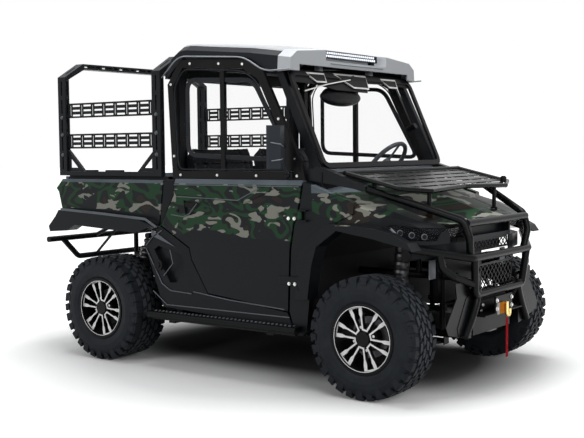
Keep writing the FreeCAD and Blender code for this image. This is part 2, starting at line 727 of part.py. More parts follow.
def wishbone(hand, axis_x, spread_x, end_y, z):
    """Two legs from a long pivot tube to an upright eye."""
    end = vec(axis_x, hand * end_y, z)
    pivot_y = hand * ARM_PIVOT_Y
    legs = [rod(vec(axis_x + side * spread_x, pivot_y, z), end, ARM_LEG_R) for side in (-1, 1)]
    half = vec(0, 0, BALL_R)
    reach = spread_x + ARM_TUBE_R
    eye = rod(end - half, end + half, BALL_R)
    pivot = rod(vec(axis_x - reach, pivot_y, z), vec(axis_x + reach, pivot_y, z), ARM_TUBE_R)
    return legs + [eye, pivot]


def arm_cross(hand, axis_x, spread_x, end_y, z):
    """Cross tube between a wishbone's legs that carries the shock's foot."""
    reach = spread_x * (end_y - SHOCK_FOOT_Y) / (end_y - ARM_PIVOT_Y)
    y = hand * SHOCK_FOOT_Y
    return rod(vec(axis_x - reach, y, z), vec(axis_x + reach, y, z), ARM_TUBE_R)


def front_arms():
    low_z = HUB_Z - BALL_SPREAD
    high_z = HUB_Z + BALL_SPREAD
    solids = []
    for hand in (-1, 1):
        lower = wishbone(hand, FRONT_AXLE_X, ARM_SPREAD_X, KINGPIN_Y, low_z)
        upper = wishbone(hand, FRONT_AXLE_X, UPPER_ARM_SPREAD_X, KINGPIN_Y, high_z)
        upper.append(arm_cross(hand, FRONT_AXLE_X, UPPER_ARM_SPREAD_X, KINGPIN_Y, high_z))
        solids.append(fused(lower + ball_pin(hand, -1)))
        solids.append(fused(upper + ball_pin(hand, 1)))
    return Part.makeCompound(solids)


def rear_end_y():
    return TYRE_FACE_Y - REAR_TYRE_W - RIM_LIP_W


def rear_arms():
    """Rear wishbones with the upright that carries the rear spindle."""
    end_y = rear_end_y()
    low_z = HUB_Z - BALL_SPREAD
    high_z = HUB_Z + BALL_SPREAD
    half_w = KNUCKLE_W / 2
    solids = []
    for hand in (-1, 1):
        lower = wishbone(hand, REAR_AXLE_X, ARM_SPREAD_X, end_y, low_z)
        upper = wishbone(hand, REAR_AXLE_X, UPPER_ARM_SPREAD_X, end_y, high_z)
        upper.append(arm_cross(hand, REAR_AXLE_X, UPPER_ARM_SPREAD_X, end_y, high_z))
        y0, y1 = sorted((hand * (end_y - KNUCKLE_T / 2), hand * (end_y + KNUCKLE_T / 2)))
        post = box(REAR_AXLE_X - half_w, REAR_AXLE_X + half_w, y0, y1, low_z, high_z)
        axle = [spindle(REAR_AXLE_X, end_y), brake_disc(REAR_AXLE_X, end_y)]
        if hand < 0:
            axle = [mirrored(piece) for piece in axle]
        solids.append(fused(lower + upper + [post] + axle))
    return Part.makeCompound(solids)


def shock(axis_x, head_z):
    """Spring over damper, with the spring as its outer sleeve of rounded turns."""
    foot = vec(axis_x, SHOCK_FOOT_Y, HUB_Z + BALL_SPREAD + ARM_TUBE_R * 2)
    head = vec(axis_x, SHOCK_HEAD_Y, head_z)
    axis = head - foot
    length = axis.Length
    unit = vec(axis.x, axis.y, axis.z).normalize()
    spring_start = length * SPRING_START_SHARE
    spring_end = length * SPRING_END_SHARE
    pitch = (spring_end - spring_start) / SPRING_TURNS
    groove = SPRING_R - SPRING_WIRE_R
    outline = [(0, 0), (SHOCK_BODY_R, 0), (SHOCK_BODY_R, spring_start)]
    for turn in range(SPRING_TURNS):
        base = spring_start + turn * pitch
        outline.append((groove, base))
        outline.append((SPRING_R, base + pitch / 3))
        outline.append((SPRING_R, base + pitch * 2 / 3))
    outline += [(groove, spring_end), (SHOCK_BODY_R, spring_end), (SHOCK_BODY_R, length), (0, length)]
    corners = [vec(radius, 0, height) for radius, height in outline]
    body = Part.Face(Part.makePolygon(corners + corners[:1])).revolve(
        vec(0, 0, 0), vec(0, 0, 1), 360)
    body.Placement = FreeCAD.Placement(foot, FreeCAD.Rotation(vec(0, 0, 1), unit))
    reach = vec(SHOCK_EYE_HALF, 0, 0)
    foot_eye = rod(foot - reach, foot + reach, ARM_TUBE_R)
    head_eye = rod(head - reach, head + reach, ARM_TUBE_R)
    return fused([body, foot_eye, head_eye])


def shocks():
    left = Part.makeCompound([shock(FRONT_AXLE_X, FRONT_SHOCK_HEAD_Z),
                              shock(REAR_AXLE_X, REAR_SHOCK_HEAD_Z)])
    return both(left)


def half_shaft(axis_x, start_y, end_y):
    shaft = rod(vec(axis_x, start_y, HUB_Z), vec(axis_x, end_y, HUB_Z), SHAFT_R)
    inner = rod(vec(axis_x, start_y, HUB_Z), vec(axis_x, start_y + BOOT_LENGTH, HUB_Z), BOOT_R)
    outer = rod(vec(axis_x, end_y - BOOT_LENGTH, HUB_Z), vec(axis_x, end_y, HUB_Z), BOOT_R)
    return fused([shaft, inner, outer])


def drive_line():
    """Front differential with its two shafts, and the two rear shafts."""
    half_x = CROSS_OFFSET - CROSS_R
    diff = box(FRONT_AXLE_X - half_x, FRONT_AXLE_X + half_x, -DIFF_HALF_Y, DIFF_HALF_Y,
               HUB_Z - DIFF_HALF_H, HUB_Z + DIFF_HALF_H)
    front = half_shaft(FRONT_AXLE_X, DIFF_HALF_Y, KINGPIN_Y - KNUCKLE_W + KNUCKLE_T / 3)
    rear = half_shaft(REAR_AXLE_X, ENGINE_HALF_Y, rear_end_y() - KNUCKLE_T / 2)
    return Part.makeCompound([fused([diff, front, mirrored(front)]), rear, mirrored(rear)])


def engine_block():
    return box(along(ENGINE_X_SHARES[0]), along(ENGINE_X_SHARES[1]), -ENGINE_HALF_Y, ENGINE_HALF_Y,
               RAIL_Z + CROSS_R, FRAME_UPPER_Z - RAIL_R - PANEL_GAP)


def steering_rack():
    """Sliding rack with the two tie rods, whose eyes sit just over the steering arms."""
    rack_x = FRONT_AXLE_X - RACK_BACK
    eye_x = FRONT_AXLE_X - STEER_ARM_R
    z = tie_rod_z()
    bar = rod(vec(rack_x, -RACK_HALF, z), vec(rack_x, RACK_HALF, z), RACK_R)
    end = vec(eye_x, KINGPIN_Y, z)
    start = vec(rack_x, RACK_HALF, z)
    ball = Part.makeSphere(TIE_BALL_R, start)
    link = rod(start, end, TIE_ROD_R)
    eye = rod(end - vec(0, 0, TIE_EYE_HALF), end + vec(0, 0, TIE_EYE_HALF), TIE_EYE_R)
    return fused([bar, ball, link, eye, mirrored(ball), mirrored(link), mirrored(eye)])


def tie_rod_z():
    return HUB_Z + STEER_ARM_T / 2 + OPEN_EYE_GAP + TIE_EYE_HALF


def rack_housing():
    rack_x = FRONT_AXLE_X - RACK_BACK
    z = tie_rod_z()
    radius = z - RAIL_Z - CROSS_R
    sleeve = rod(vec(rack_x, -RACK_HOUSING_HALF, z), vec(rack_x, RACK_HOUSING_HALF, z), radius)
    bore = rod(vec(rack_x, -RACK_HALF, z), vec(rack_x, RACK_HALF, z), RACK_R + RUN_CLEARANCE)
    return sleeve.cut(bore)


# Chassis


def rail(y, z, start_share, end_share):
    return rod(vec(along(start_share), y, z), vec(along(end_share), y, z), RAIL_R)


def cross_tube(x, half_y, z):
    return rod(vec(x, -half_y, z), vec(x, half_y, z), CROSS_R)


def upright(x, y, z0, z1):
    return rod(vec(x, y, z0), vec(x, y, z1), POST_R)


def arm_brackets(axis_x):
    """Plates that hold the wishbone pivots of one axle, left side."""
    plates = []
    low = HUB_Z - BALL_SPREAD
    high = HUB_Z + BALL_SPREAD
    for side in (-1, 1):
        face = axis_x + side * (ARM_SPREAD_X + ARM_TUBE_R)
        x0, x1 = sorted((face, face + side * BRACKET_T))
        plates.append(box(x0, x1, ARM_PIVOT_Y - ARM_TUBE_R, RAIL_Y, low - ARM_TUBE_R, RAIL_Z))
        face = axis_x + side * (UPPER_ARM_SPREAD_X + ARM_TUBE_R)
        x0, x1 = sorted((face, axis_x + side * TOWER_OFFSET))
        plates.append(box(x0, x1, ARM_PIVOT_Y - ARM_TUBE_R, RAIL_Y, high - ARM_TUBE_R,
                          high + ARM_TUBE_R))
    return plates


def bed_lug_y():
    return RAIL_Y + RAIL_R + BRACKET_T


def bed_rest_z():
    """Height of the cross tube that the front of the bed comes down on."""
    return up(BED_FLOOR_Z_SHARE) - CROSS_R - SEAT_GAP


def frame():
    """Welded chassis: two main rails, sill rails, four towers and two shock bars."""
    parts = []
    for y in (-RAIL_Y, RAIL_Y):
        parts.append(rail(y, RAIL_Z, RAIL_SHARES[0], RAIL_SHARES[1]))
        parts.append(rail(y, FRAME_UPPER_Z, RAIL_SHARES[0], REAR_UPPER_END_SHARE))
        parts.append(rail(y, FRAME_UPPER_Z, FRONT_UPPER_START_SHARE, RAIL_SHARES[1]))
        parts.append(upright(along(REAR_UPPER_END_SHARE), y, RAIL_Z, bed_rest_z()))
        parts.append(upright(along(BED_PIVOT_SHARES[0]), y, FRAME_UPPER_Z, up(BED_PIVOT_SHARES[1])))
        for axis_x in (REAR_AXLE_X, FRONT_AXLE_X):
            for side in (-1, 1):
                parts.append(upright(axis_x + side * TOWER_OFFSET, y, RAIL_Z, FRAME_UPPER_Z))
        parts.append(upright(REAR_AXLE_X, y, FRAME_UPPER_Z, REAR_SHOCK_HEAD_Z + ARM_TUBE_R + CROSS_R))
        parts.append(upright(FRONT_AXLE_X, y, FRAME_UPPER_Z,
                             FRONT_SHOCK_HEAD_Z + ARM_TUBE_R + CROSS_R))
    for y in (-SILL_RAIL_Y, SILL_RAIL_Y):
        parts.append(rail(y, RAIL_Z, SILL_SHARES[0], SILL_SHARES[1]))
    for share in SILL_SHARES:
        parts.append(cross_tube(along(share), SILL_RAIL_Y, RAIL_Z))
    for axis_x in (REAR_AXLE_X, FRONT_AXLE_X):
        for side in (-1, 1):
            parts.append(cross_tube(axis_x + side * CROSS_OFFSET, RAIL_Y, RAIL_Z))
    parts.append(cross_tube(FRONT_AXLE_X - RACK_BACK, RAIL_Y, RAIL_Z))
    parts.append(cross_tube(along(REAR_UPPER_END_SHARE), SILL_RAIL_Y / 2, bed_rest_z()))
    pin_x = along(BED_PIVOT_SHARES[0])
    pin_z = up(BED_PIVOT_SHARES[1])
    pin_half = bed_lug_y() + BED_LUG_T + OPEN_EYE_GAP
    parts.append(rod(vec(pin_x, -pin_half, pin_z), vec(pin_x, pin_half, pin_z), BED_PIN_R))
    half = SHOCK_HEAD_Y + ARM_TUBE_R
    parts.append(cross_tube(REAR_AXLE_X, half, REAR_SHOCK_HEAD_Z + ARM_TUBE_R + CROSS_R))
    parts.append(cross_tube(FRONT_AXLE_X, half, FRONT_SHOCK_HEAD_Z + ARM_TUBE_R + CROSS_R))
    for axis_x in (REAR_AXLE_X, FRONT_AXLE_X):
        plates = arm_brackets(axis_x)
        parts += plates + [mirrored(plate) for plate in plates]
    return fused(parts)


def skid_plate():
    middle = [along(share) for share in SILL_SHARES]
    tail = along(SKID_TAIL_SHARE)
    nose = along(RAIL_SHARES[1])
    wide = SILL_RAIL_Y + RAIL_R
    half = SKID_TAIL_HALF
    outline = [
        (tail, -half), (middle[0], -half), (middle[0], -wide), (middle[1], -wide),
        (middle[1], -half), (nose, -half), (nose, half), (middle[1], half), (middle[1], wide),
        (middle[0], wide), (middle[0], half), (tail, half),
    ]
    top = RAIL_Z - RAIL_R
    return plan_prism(outline, top - SKID_T, top)


# Cab structure


def floor_pan():
    """Cab floor with the firewall that rises to the foot of the windshield."""
    wall = side_points(FIREWALL_SHARES)
    outline = wall + [(x + SHEET_T, z) for x, z in reversed(wall)]
    floor = box(along(CAB_BACK_X_SHARE), wall[0][0] + SHEET_T, -FLOOR_HALF, FLOOR_HALF, FLOOR_Z,
                FLOOR_Z + SHEET_T)
    outline[0] = (outline[0][0], FLOOR_Z)
    outline[-1] = (outline[-1][0], FLOOR_Z)
    firewall = side_prism(outline, -FLOOR_HALF, FLOOR_HALF)
    return fused([floor, firewall])


def cage_loop():
    """Side hoop of the cab from floor to floor, left side."""
    outer = side_prism(side_points(CAGE_OUTER_SHARES + CAGE_INNER_SHARES), CAGE_Y0, CAGE_Y1)
    foot = box(along(0), along(1), CAGE_Y0 - OVERRUN, CAGE_Y1 + OVERRUN, 0, FLOOR_Z + SHEET_T)
    return outer.cut(foot)


def roll_cage():
    loop = cage_loop()
    parts = [loop, mirrored(loop)]
    for x_share, z_share in CAGE_CROSS_SHARES:
        x = along(x_share)
        z = up(z_share)
        parts.append(rod(vec(x, -CAGE_Y1, z), vec(x, CAGE_Y1, z), CAGE_CROSS_R))
    return fused(parts)


def cab_back():
    """Rear wall of the cab with its window opening."""
    x = along(CAB_BACK_X_SHARE)
    low = FLOOR_Z + SHEET_T
    high = up(CAGE_CROSS_SHARES[1][1])
    wall = box(x - SHEET_T, x, -CAGE_Y0, CAGE_Y0, low, high)
    window = box(x - OVERRUN, x + OVERRUN, -REAR_WINDOW_HALF, REAR_WINDOW_HALF,
                 up(REAR_WINDOW_SHARES[0]), up(REAR_WINDOW_SHARES[1]))
    return wall.cut(window)


def cab_glass():
    """Windshield between the front pillars and the pane of the rear window."""
    foot = vec(along(WINDSHIELD_SHARES[0][0]), 0, up(WINDSHIELD_SHARES[0][1]))
    head = vec(along(WINDSHIELD_SHARES[1][0]), 0, up(WINDSHIELD_SHARES[1][1]))
    slope = [(foot.x, foot.z), (head.x, head.z), (head.x - GLASS_T, head.z), (foot.x - GLASS_T, foot.z)]
    front = side_prism(slope, -WINDSHIELD_HALF, WINDSHIELD_HALF)
    x = along(CAB_BACK_X_SHARE)
    rear = box(x - SHEET_T, x, -REAR_WINDOW_HALF, REAR_WINDOW_HALF, up(REAR_WINDOW_SHARES[0]),
               up(REAR_WINDOW_SHARES[1]))
    return Part.makeCompound([front, rear])


def dashboard():
    return side_prism(side_points(DASH_SHARES), -CAB_INNER_Y, CAB_INNER_Y)


def seats():
    """Two seats on one base, each with a cushion and a backrest."""
    base = side_prism(side_points(SEAT_BASE_SHARES), -SEAT_OUTER_Y, SEAT_OUTER_Y)
    low = FLOOR_Z + SHEET_T
    base = base.cut(box(along(0), along(1), -HALF_BODY, HALF_BODY, 0, low))
    solids = [base]
    for y0, y1 in ((SEAT_INNER_Y, SEAT_OUTER_Y), (-SEAT_OUTER_Y, -SEAT_INNER_Y)):
        cushion = side_prism(side_points(CUSHION_SHARES), y0, y1)
        back = side_prism(side_points(BACKREST_SHARES), y0, y1)
        solids.append(cushion.cut(base))
        solids.append(back.cut(cushion))
    return Part.makeCompound(solids)


def steering_wheel_centre():
    return vec(along(WHEEL_CENTRE_SHARES[0]), WHEEL_Y, up(WHEEL_CENTRE_SHARES[1]))


def steering_axis():
    """Direction from the column towards the driver."""
    turn = math.radians(COLUMN_ANGLE)
    return vec(-math.cos(turn), 0, math.sin(turn))


def steering_wheel():
    centre = steering_wheel_centre()
    axis = steering_axis()
    grip = []
    for index in range(GRIP_SIDES):
        turn = math.radians((index + 1 / 2) * 360 / GRIP_SIDES)
        grip.append(vec(WHEEL_R + WHEEL_GRIP_R * math.cos(turn), 0, WHEEL_GRIP_R * math.sin(turn)))
    ring = Part.Face(Part.makePolygon(grip + grip[:1])).revolve(vec(0, 0, 0), vec(0, 0, 1), 360)
    spokes = []
    for angle in SPOKE_ANGLES:
        turn = math.radians(angle)
        tip = vec(WHEEL_R * math.cos(turn), WHEEL_R * math.sin(turn), 0)
        spokes.append(rod(vec(0, 0, 0), tip, WHEEL_GRIP_R / 2))
    hub = Part.makeCylinder(WHEEL_HUB_R, WHEEL_GRIP_R * 2, vec(0, 0, -WHEEL_GRIP_R))
    pin = Part.makeCylinder(COLUMN_PIN_R, WHEEL_PIN_L, vec(0, 0, -WHEEL_GRIP_R - WHEEL_PIN_L))
    wheel = fused([ring, hub, pin] + spokes)
    wheel.Placement = FreeCAD.Placement(centre, FreeCAD.Rotation(vec(0, 0, 1), axis))
    return wheel


def steering_column():
    """Column that leaves the dashboard, and the housing that the rack slides in."""
    centre = steering_wheel_centre()
    axis = steering_axis()
    top = centre - axis * (WHEEL_GRIP_R + OPEN_EYE_GAP)
    foot = centre - axis * COLUMN_LENGTH
    column = rod(foot, top, COLUMN_R)
    bore = rod(top - axis * (WHEEL_PIN_L + OPEN_EYE_GAP), centre, COLUMN_PIN_R + RUN_CLEARANCE)
    column = column.cut(bore).cut(dashboard())
    return Part.makeCompound([column.Solids[0], rack_housing()])


# Roof


def roof_section(x, top, inset):
    low = top - ROOF_SKIRT_DROP
    high = top - inset
    half = ROOF_HALF - inset
    half_mid = ROOF_HALF_MID - inset
    half_top = ROOF_HALF_TOP - inset
    shoulder = high - ROOF_SHOULDER_DROP
    left = [(half, low), (half_mid, shoulder), (half_top, high), (half_top / 2, high + ROOF_CROWN)]
    right = [(-y, z) for y, z in reversed(left)]
    corners = [vec(x, y, z) for y, z in left + right]
    return Part.makePolygon(corners + corners[:1])


def roof():
    stations = side_points(ROOF_SHARES)
    outer = Part.makeLoft([roof_section(x, z, 0) for x, z in stations], True, True)
    last = len(stations) - 1
    inner_wires = []
    for index, (x, z) in enumerate(stations):
        if index == 0:
            x += ROOF_T
        if index == last:
            x -= ROOF_T
        inner_wires.append(roof_section(x, z, ROOF_T))
    inner = Part.makeLoft(inner_wires, True, True)
    low = ROOF_SKIRT_DROP * 2
    base = inner.BoundBox
    shell = outer.cut(inner)
    band = side_points(ROOF_BAND_SHARES)
    shell = shell.cut(side_prism(band, ROOF_HALF_TOP - OVERRUN, ROOF_HALF + OVERRUN))
    shell = shell.cut(side_prism(band, -ROOF_HALF - OVERRUN, OVERRUN - ROOF_HALF_TOP))
    middle = (base.XMin + base.XMax) / 2
    for x0, x1, share in ((middle, base.XMax + low, ROOF_FRONT_LIP_SHARE),
                          (base.XMin - low, middle, ROOF_REAR_LIP_SHARE)):
        shell = shell.cut(box(x0, x1, OVERRUN - ROOF_HALF_TOP, ROOF_HALF_TOP - OVERRUN,
                              up(share) - low, up(share)))
    for x_share, z_share in CAGE_CROSS_SHARES[:2]:
        pad_x = along(x_share)
        pad = box(pad_x - CAGE_CROSS_R, pad_x + CAGE_CROSS_R, ROOF_PAD_Y, ROOF_PAD_Y + CAGE_CROSS_R * 2,
                  up(z_share) + CAGE_CROSS_R, CAB_HEIGHT + ROOF_CROWN).common(outer)
        shell = fused([shell, pad, mirrored(pad)])
    x = along(ROOF_NOTCH_SHARES[0])
    z = up(ROOF_NOTCH_SHARES[1])
    end = stations[-1][0]
    shell = shell.cut(box(x, end + low, -ROOF_NOTCH_HALF, ROOF_NOTCH_HALF, z, z + low))
    wide = ROOF_NOTCH_HALF + ROOF_T / 2
    shelf = box(x, end, -wide, wide, z - ROOF_T, z)
    riser = box(x - ROOF_T, x, -wide, wide, z - ROOF_T, z + low).common(outer)
    cheek = box(x - ROOF_T, end, ROOF_NOTCH_HALF, wide, z - ROOF_T, z + low).common(outer)
    return fused([shell, shelf, riser, cheek, mirrored(cheek)])


def light_bar():
    """Lamp bar that stands on two feet in the notch of the roof."""
    x = along(LIGHT_BAR_SHARES[0])
    z = up(LIGHT_BAR_SHARES[1])
    body = box(x, x + LIGHT_BAR_DEPTH, -LIGHT_BAR_HALF, LIGHT_BAR_HALF, z, z + LIGHT_BAR_HEIGHT)
    foot = box(x, x + LIGHT_BAR_DEPTH / 2, LIGHT_BAR_HALF - LIGHT_BAR_DEPTH, LIGHT_BAR_HALF,
               up(ROOF_NOTCH_SHARES[1]), z)
    return fused([body, foot, mirrored(foot)])


# Doors


def door_skin():
    panel = side_prism(side_points(DOOR_SHARES), DOOR_INNER_Y, HALF_BODY)
    parts = [panel]
    pin_x = along(HINGE_X_SHARE)
    pin_y = HALF_BODY + HINGE_OUT
    for share in HINGE_Z_SHARES:
        z = up(share)
        leaf = box(along(HINGE_LEAF_SHARE) - HINGE_HEIGHT, pin_x, HALF_BODY, HALF_BODY + HINGE_LEAF_T,
                   z, z + HINGE_HEIGHT)
        barrel = rod(vec(pin_x, pin_y, z), vec(pin_x, pin_y, z + HINGE_HEIGHT), HINGE_PIN_R * 2)
        parts += [leaf, barrel]
    door = fused(parts)
    for pressed in door_pressings():
        door = door.cut(pressed)
    for share in HINGE_Z_SHARES:
        z = up(share)
        door = door.cut(rod(vec(pin_x, pin_y, z - OVERRUN), vec(pin_x, pin_y, z + HINGE_HEIGHT + OVERRUN),
                            HINGE_PIN_R + RUN_CLEARANCE))
    return door


def door_pressings():
    """Belt slope, crease, handle recess and inner pocket that are pressed into a door."""
    x0 = along(DOOR_FRAME_OUTER_SHARES[1][0])
    x1 = along(HINGE_X_SHARE) + OVERRUN
    top = up(DOOR_SHARES[0][1])
    low = up(BELT_LOW_SHARE)
    slope = [(HALF_BODY, low), (HALF_BODY + BELT_DEPTH, low), (HALF_BODY + BELT_DEPTH, top + OVERRUN),
             (HALF_BODY - BELT_DEPTH, top + OVERRUN), (HALF_BODY - BELT_DEPTH, top)]
    belt = front_prism(slope, x0, x1)
    line = side_points(CREASE_SHARES)
    groove = line + [(x, z - CREASE_W) for x, z in reversed(line)]
    crease = side_prism(groove, HALF_BODY - CREASE_DEPTH, HALF_BODY + OVERRUN)
    handle = side_prism(side_points(HANDLE_SHARES), HALF_BODY - HANDLE_DEPTH, HALF_BODY + OVERRUN)
    pocket = side_prism(side_points(DOOR_POCKET_SHARES), DOOR_INNER_Y - OVERRUN,
                        DOOR_INNER_Y + DOOR_POCKET_DEPTH)
    return [belt, crease, handle, pocket]


def hinge_pins():
    """Fixed half of the two hinges of one door, left side."""
    pin_x = along(HINGE_X_SHARE)
    pin_y = HALF_BODY + HINGE_OUT
    halves = []
    for share in HINGE_Z_SHARES:
        z = up(share)
        low = z - HINGE_LEAF_T - OPEN_EYE_GAP
        high = z + HINGE_HEIGHT + OPEN_EYE_GAP
        pin = rod(vec(pin_x, pin_y, low), vec(pin_x, pin_y, high + HINGE_LEAF_T), HINGE_PIN_R)
        halves.append(pin)
        for base in (low, high):
            halves.append(box(pin_x - HINGE_PIN_R * 2, pin_x + HINGE_HEIGHT, SIDE_Y1,
                              pin_y + HINGE_PIN_R * 2, base, base + HINGE_LEAF_T))
    return halves


def door_frame():
    """Window frame that stands on the door skin, with a bar between its two panes."""
    ring = side_prism(side_points(DOOR_FRAME_OUTER_SHARES), DOOR_FRAME_Y0, DOOR_FRAME_Y1)
    hole = side_prism(side_points(DOOR_FRAME_INNER_SHARES), DOOR_FRAME_Y0 - OVERRUN,
                      DOOR_FRAME_Y1 + OVERRUN)
    low = up(DOOR_FRAME_INNER_SHARES[0][1])
    high = up(DOOR_FRAME_OUTER_SHARES[2][1])
    bar = box(along(WINDOW_BAR_SHARES[0]), along(WINDOW_BAR_SHARES[1]), DOOR_FRAME_Y0,
              DOOR_FRAME_Y1, low, high).common(ring)
    return fused([ring.cut(hole), bar])


def door_glass():
    pane = side_prism(side_points(DOOR_FRAME_INNER_SHARES), DOOR_FRAME_Y0,
                      DOOR_FRAME_Y0 + GLASS_T)
    return pane.cut(door_frame())


def mirror():
    """Mirror on its arm, drawn on the left; only the right door carries one."""
    x = along(MIRROR_X_SHARE)
    low = up(MIRROR_Z_SHARES[0])
    high = up(MIRROR_Z_SHARES[1])
    front = x + MIRROR_T / 2
    fold = (front + MIRROR_BULGE, (MIRROR_Y0 + MIRROR_Y1) / 2)
    housing = plan_prism([(x, MIRROR_Y0), (front, MIRROR_Y0), fold, (front, MIRROR_Y1), (x, MIRROR_Y1)],
                         low, high)
    arm_z = up(MIRROR_ARM_Z_SHARE)
    middle = x + MIRROR_T / 2
    arm = rod(vec(middle, DOOR_FRAME_Y1 + MIRROR_ARM_R, arm_z),
              vec(middle, MIRROR_Y0 + MIRROR_T, low + MIRROR_T), MIRROR_ARM_R)
    base = box(x, x + MIRROR_T, DOOR_FRAME_Y1, DOOR_FRAME_Y1 + MIRROR_ARM_R, arm_z - MIRROR_T / 2,
               arm_z + MIRROR_T / 2)
    return fused([housing, arm, base])


# Side panels and steps


def side_panel():
    """Panel behind and under one door, with feet that stand on the floor pan."""
    panel = side_prism(side_points(SIDE_PANEL_SHARES), SIDE_Y0, SIDE_Y1)
    recess = side_prism(side_points(RECESS_SHARES), SIDE_Y0 + NOSE_T, SIDE_Y1 + OVERRUN)
    feet = []
    for share in STEP_BRACKET_SHARES:
        x = along(share)
        feet.append(box(x - STEP_R, x + STEP_R, CAGE_Y1, (SIDE_Y0 + SIDE_Y1) / 2, FLOOR_Z + SHEET_T,
                        up(SIDE_PANEL_SHARES[-1][1]) + STEP_R))
    return fused([panel] + feet).cut(recess)


def side_panels():
    return both(side_panel())


def step_bars():
    start = along(STEP_SHARES[0])
    end = along(STEP_SHARES[1])
    bar = rod(vec(start, STEP_Y, STEP_Z), vec(end, STEP_Y, STEP_Z), STEP_R)
    plate = box(start, end, HALF_BODY + OPEN_EYE_GAP, STEP_Y, STEP_Z + STEP_R - SHEET_T,
                STEP_Z + STEP_R)
    parts = [bar, plate]
    for share in STEP_BRACKET_SHARES:
        x = along(share)
        parts.append(box(x - STEP_R, x + STEP_R, SILL_RAIL_Y + RAIL_R, STEP_Y, RAIL_Z - SHEET_T,
                         RAIL_Z + SHEET_T))
        parts.append(box(x - STEP_R, x + STEP_R, STEP_Y - STEP_R, STEP_Y, RAIL_Z - SHEET_T, STEP_Z))
    return both(fused(parts))


# Nose


def nose_wire(station, inset, shift):
    x_share, heights, widths = station
    x = along(x_share) + shift
    base = up(NOSE_BASE_Z_SHARE) - OVERRUN
    half = [out(share) - inset for share in widths]
    top = [up(share) - inset for share in heights]
    left = [(half[2], base), (half[2], top[3]), (half[1], top[2]), (half[0], top[1]), (0, top[0])]
    right = [(-y, z) for y, z in reversed(left[:-1])]
    corners = [vec(x, y, z) for y, z in left + right]
    return Part.makePolygon(corners + corners[:1])


def nose_solid():
    return Part.makeLoft([nose_wire(station, 0, 0) for station in NOSE_STATIONS_SHARES], True, True)


def nose_shell():
    wires = []
    last = len(NOSE_STATIONS_SHARES) - 1
    for index, station in enumerate(NOSE_STATIONS_SHARES):
        shift = 0
        if index == 0:
            shift = -OVERRUN
        if index == last:
            shift = -NOSE_T
        wires.append(nose_wire(station, NOSE_T, shift))
    inner = Part.makeLoft(wires, True, True)
    shell = nose_solid().cut(inner)
    base = up(NOSE_BASE_Z_SHARE)
    bounds = shell.BoundBox
    return shell.cut(box(bounds.XMin - OVERRUN, bounds.XMax + OVERRUN, -HALF_BODY, HALF_BODY,
                         bounds.ZMin - OVERRUN, base))


def lamp_prism(grow):
    points = side_points(LAMP_SHARES)
    centre_x = sum(x for x, z in points) / len(points)
    centre_z = sum(z for x, z in points) / len(points)
    grown = []
    for x, z in points:
        dx = math.copysign(grow, x - centre_x)
        dz = math.copysign(grow, z - centre_z)
        grown.append((x + dx, z + dz))
    return side_prism(grown, GRILLE_HALF + PANEL_GAP, HALF_BODY)


def headlights():
    shell = nose_solid()
    lamp = lamp_prism(0).common(shell)
    deep = lamp_depth_cutter()
    return both(lamp.cut(deep))


def lamp_depth_cutter():
    wires = [nose_wire(station, LAMP_DEPTH, -LAMP_DEPTH) for station in NOSE_STATIONS_SHARES]
    return Part.makeLoft(wires, True, True)


def cab_cutter():
    """Room of the cab behind the firewall, which hood and fenders stay clear of."""
    return box(REAR_AXLE_X, along(FIREWALL_SHARES[-1][0]) + SHEET_T + OPEN_EYE_GAP,
               -FLOOR_HALF - OPEN_EYE_GAP, FLOOR_HALF + OPEN_EYE_GAP, 0, CAB_HEIGHT)


def hood():
    shell = nose_shell()
    bounds = shell.BoundBox
    middle = box(bounds.XMin - OVERRUN, bounds.XMax + OVERRUN, -HOOD_HALF, HOOD_HALF,
                 up(GRILLE_Z_SHARES[1]), bounds.ZMax + OVERRUN)
    part = shell.common(middle).cut(cab_cutter())
    lamps = lamp_prism(PANEL_GAP / 2)
    part = largest(part.cut(lamps).cut(mirrored(lamps)))
    pads = []
    for x_share, z_share in DECK_PAD_SHARES:
        x = along(x_share)
        top = up(z_share)
        for y in (-DECK_POST_Y, DECK_POST_Y):
            pads.append(rod(vec(x, y, top - DECK_PAD_R), vec(x, y, top), DECK_PAD_R))
    return fused([part] + pads)


def largest(shape):
    return max(shape.Solids, key=lambda solid: solid.Volume)


def fascia():
    """Front wall between the lamps, open at the grille."""
    shell = nose_shell()
    bounds = shell.BoundBox
    x0 = along(NOSE_STATIONS_SHARES[-2][0])
    half = GRILLE_HALF + PANEL_GAP - OPEN_EYE_GAP
    part = shell.common(box(x0, bounds.XMax + OVERRUN, -half, half, bounds.ZMin - OVERRUN,
                            up(GRILLE_Z_SHARES[1]) - SEAT_GAP))
    opening = box(x0 - OVERRUN, bounds.XMax + OVERRUN, PANEL_GAP * 2 - GRILLE_HALF,
                  GRILLE_HALF - PANEL_GAP * 2, up(GRILLE_Z_SHARES[0]),
                  up(GRILLE_Z_SHARES[1]) - PANEL_GAP * 2)
    hole = opening.BoundBox
    front = along(NOSE_STATIONS_SHARES[-1][0])
    back = front - GRILLE_DEPTH
    grown = box(back, front, hole.YMin - GRILLE_WALL, hole.YMax + GRILLE_WALL, hole.ZMin - GRILLE_WALL,
                hole.ZMax + GRILLE_WALL)
    inside = box(back + GRILLE_WALL, front + OVERRUN, hole.YMin, hole.YMax, hole.ZMin, hole.ZMax)
    wall = largest(fused([part, grown.common(nose_solid())]).cut(inside))
    return Part.makeCompound([wall, chin(), mirrored(chin()), lower_mesh()])


def chin():
    """Lower wall of the nose on the left, from the grille round to the fender."""
    outer = [(along(x), out(y)) for x, y in CHIN_SHARES]
    inner = [(x - NOSE_T, y) for x, y in reversed(outer)]
    return plan_prism(outer + inner, up(CHIN_LOW_SHARE), up(NOSE_BASE_Z_SHARE) - SEAT_GAP)


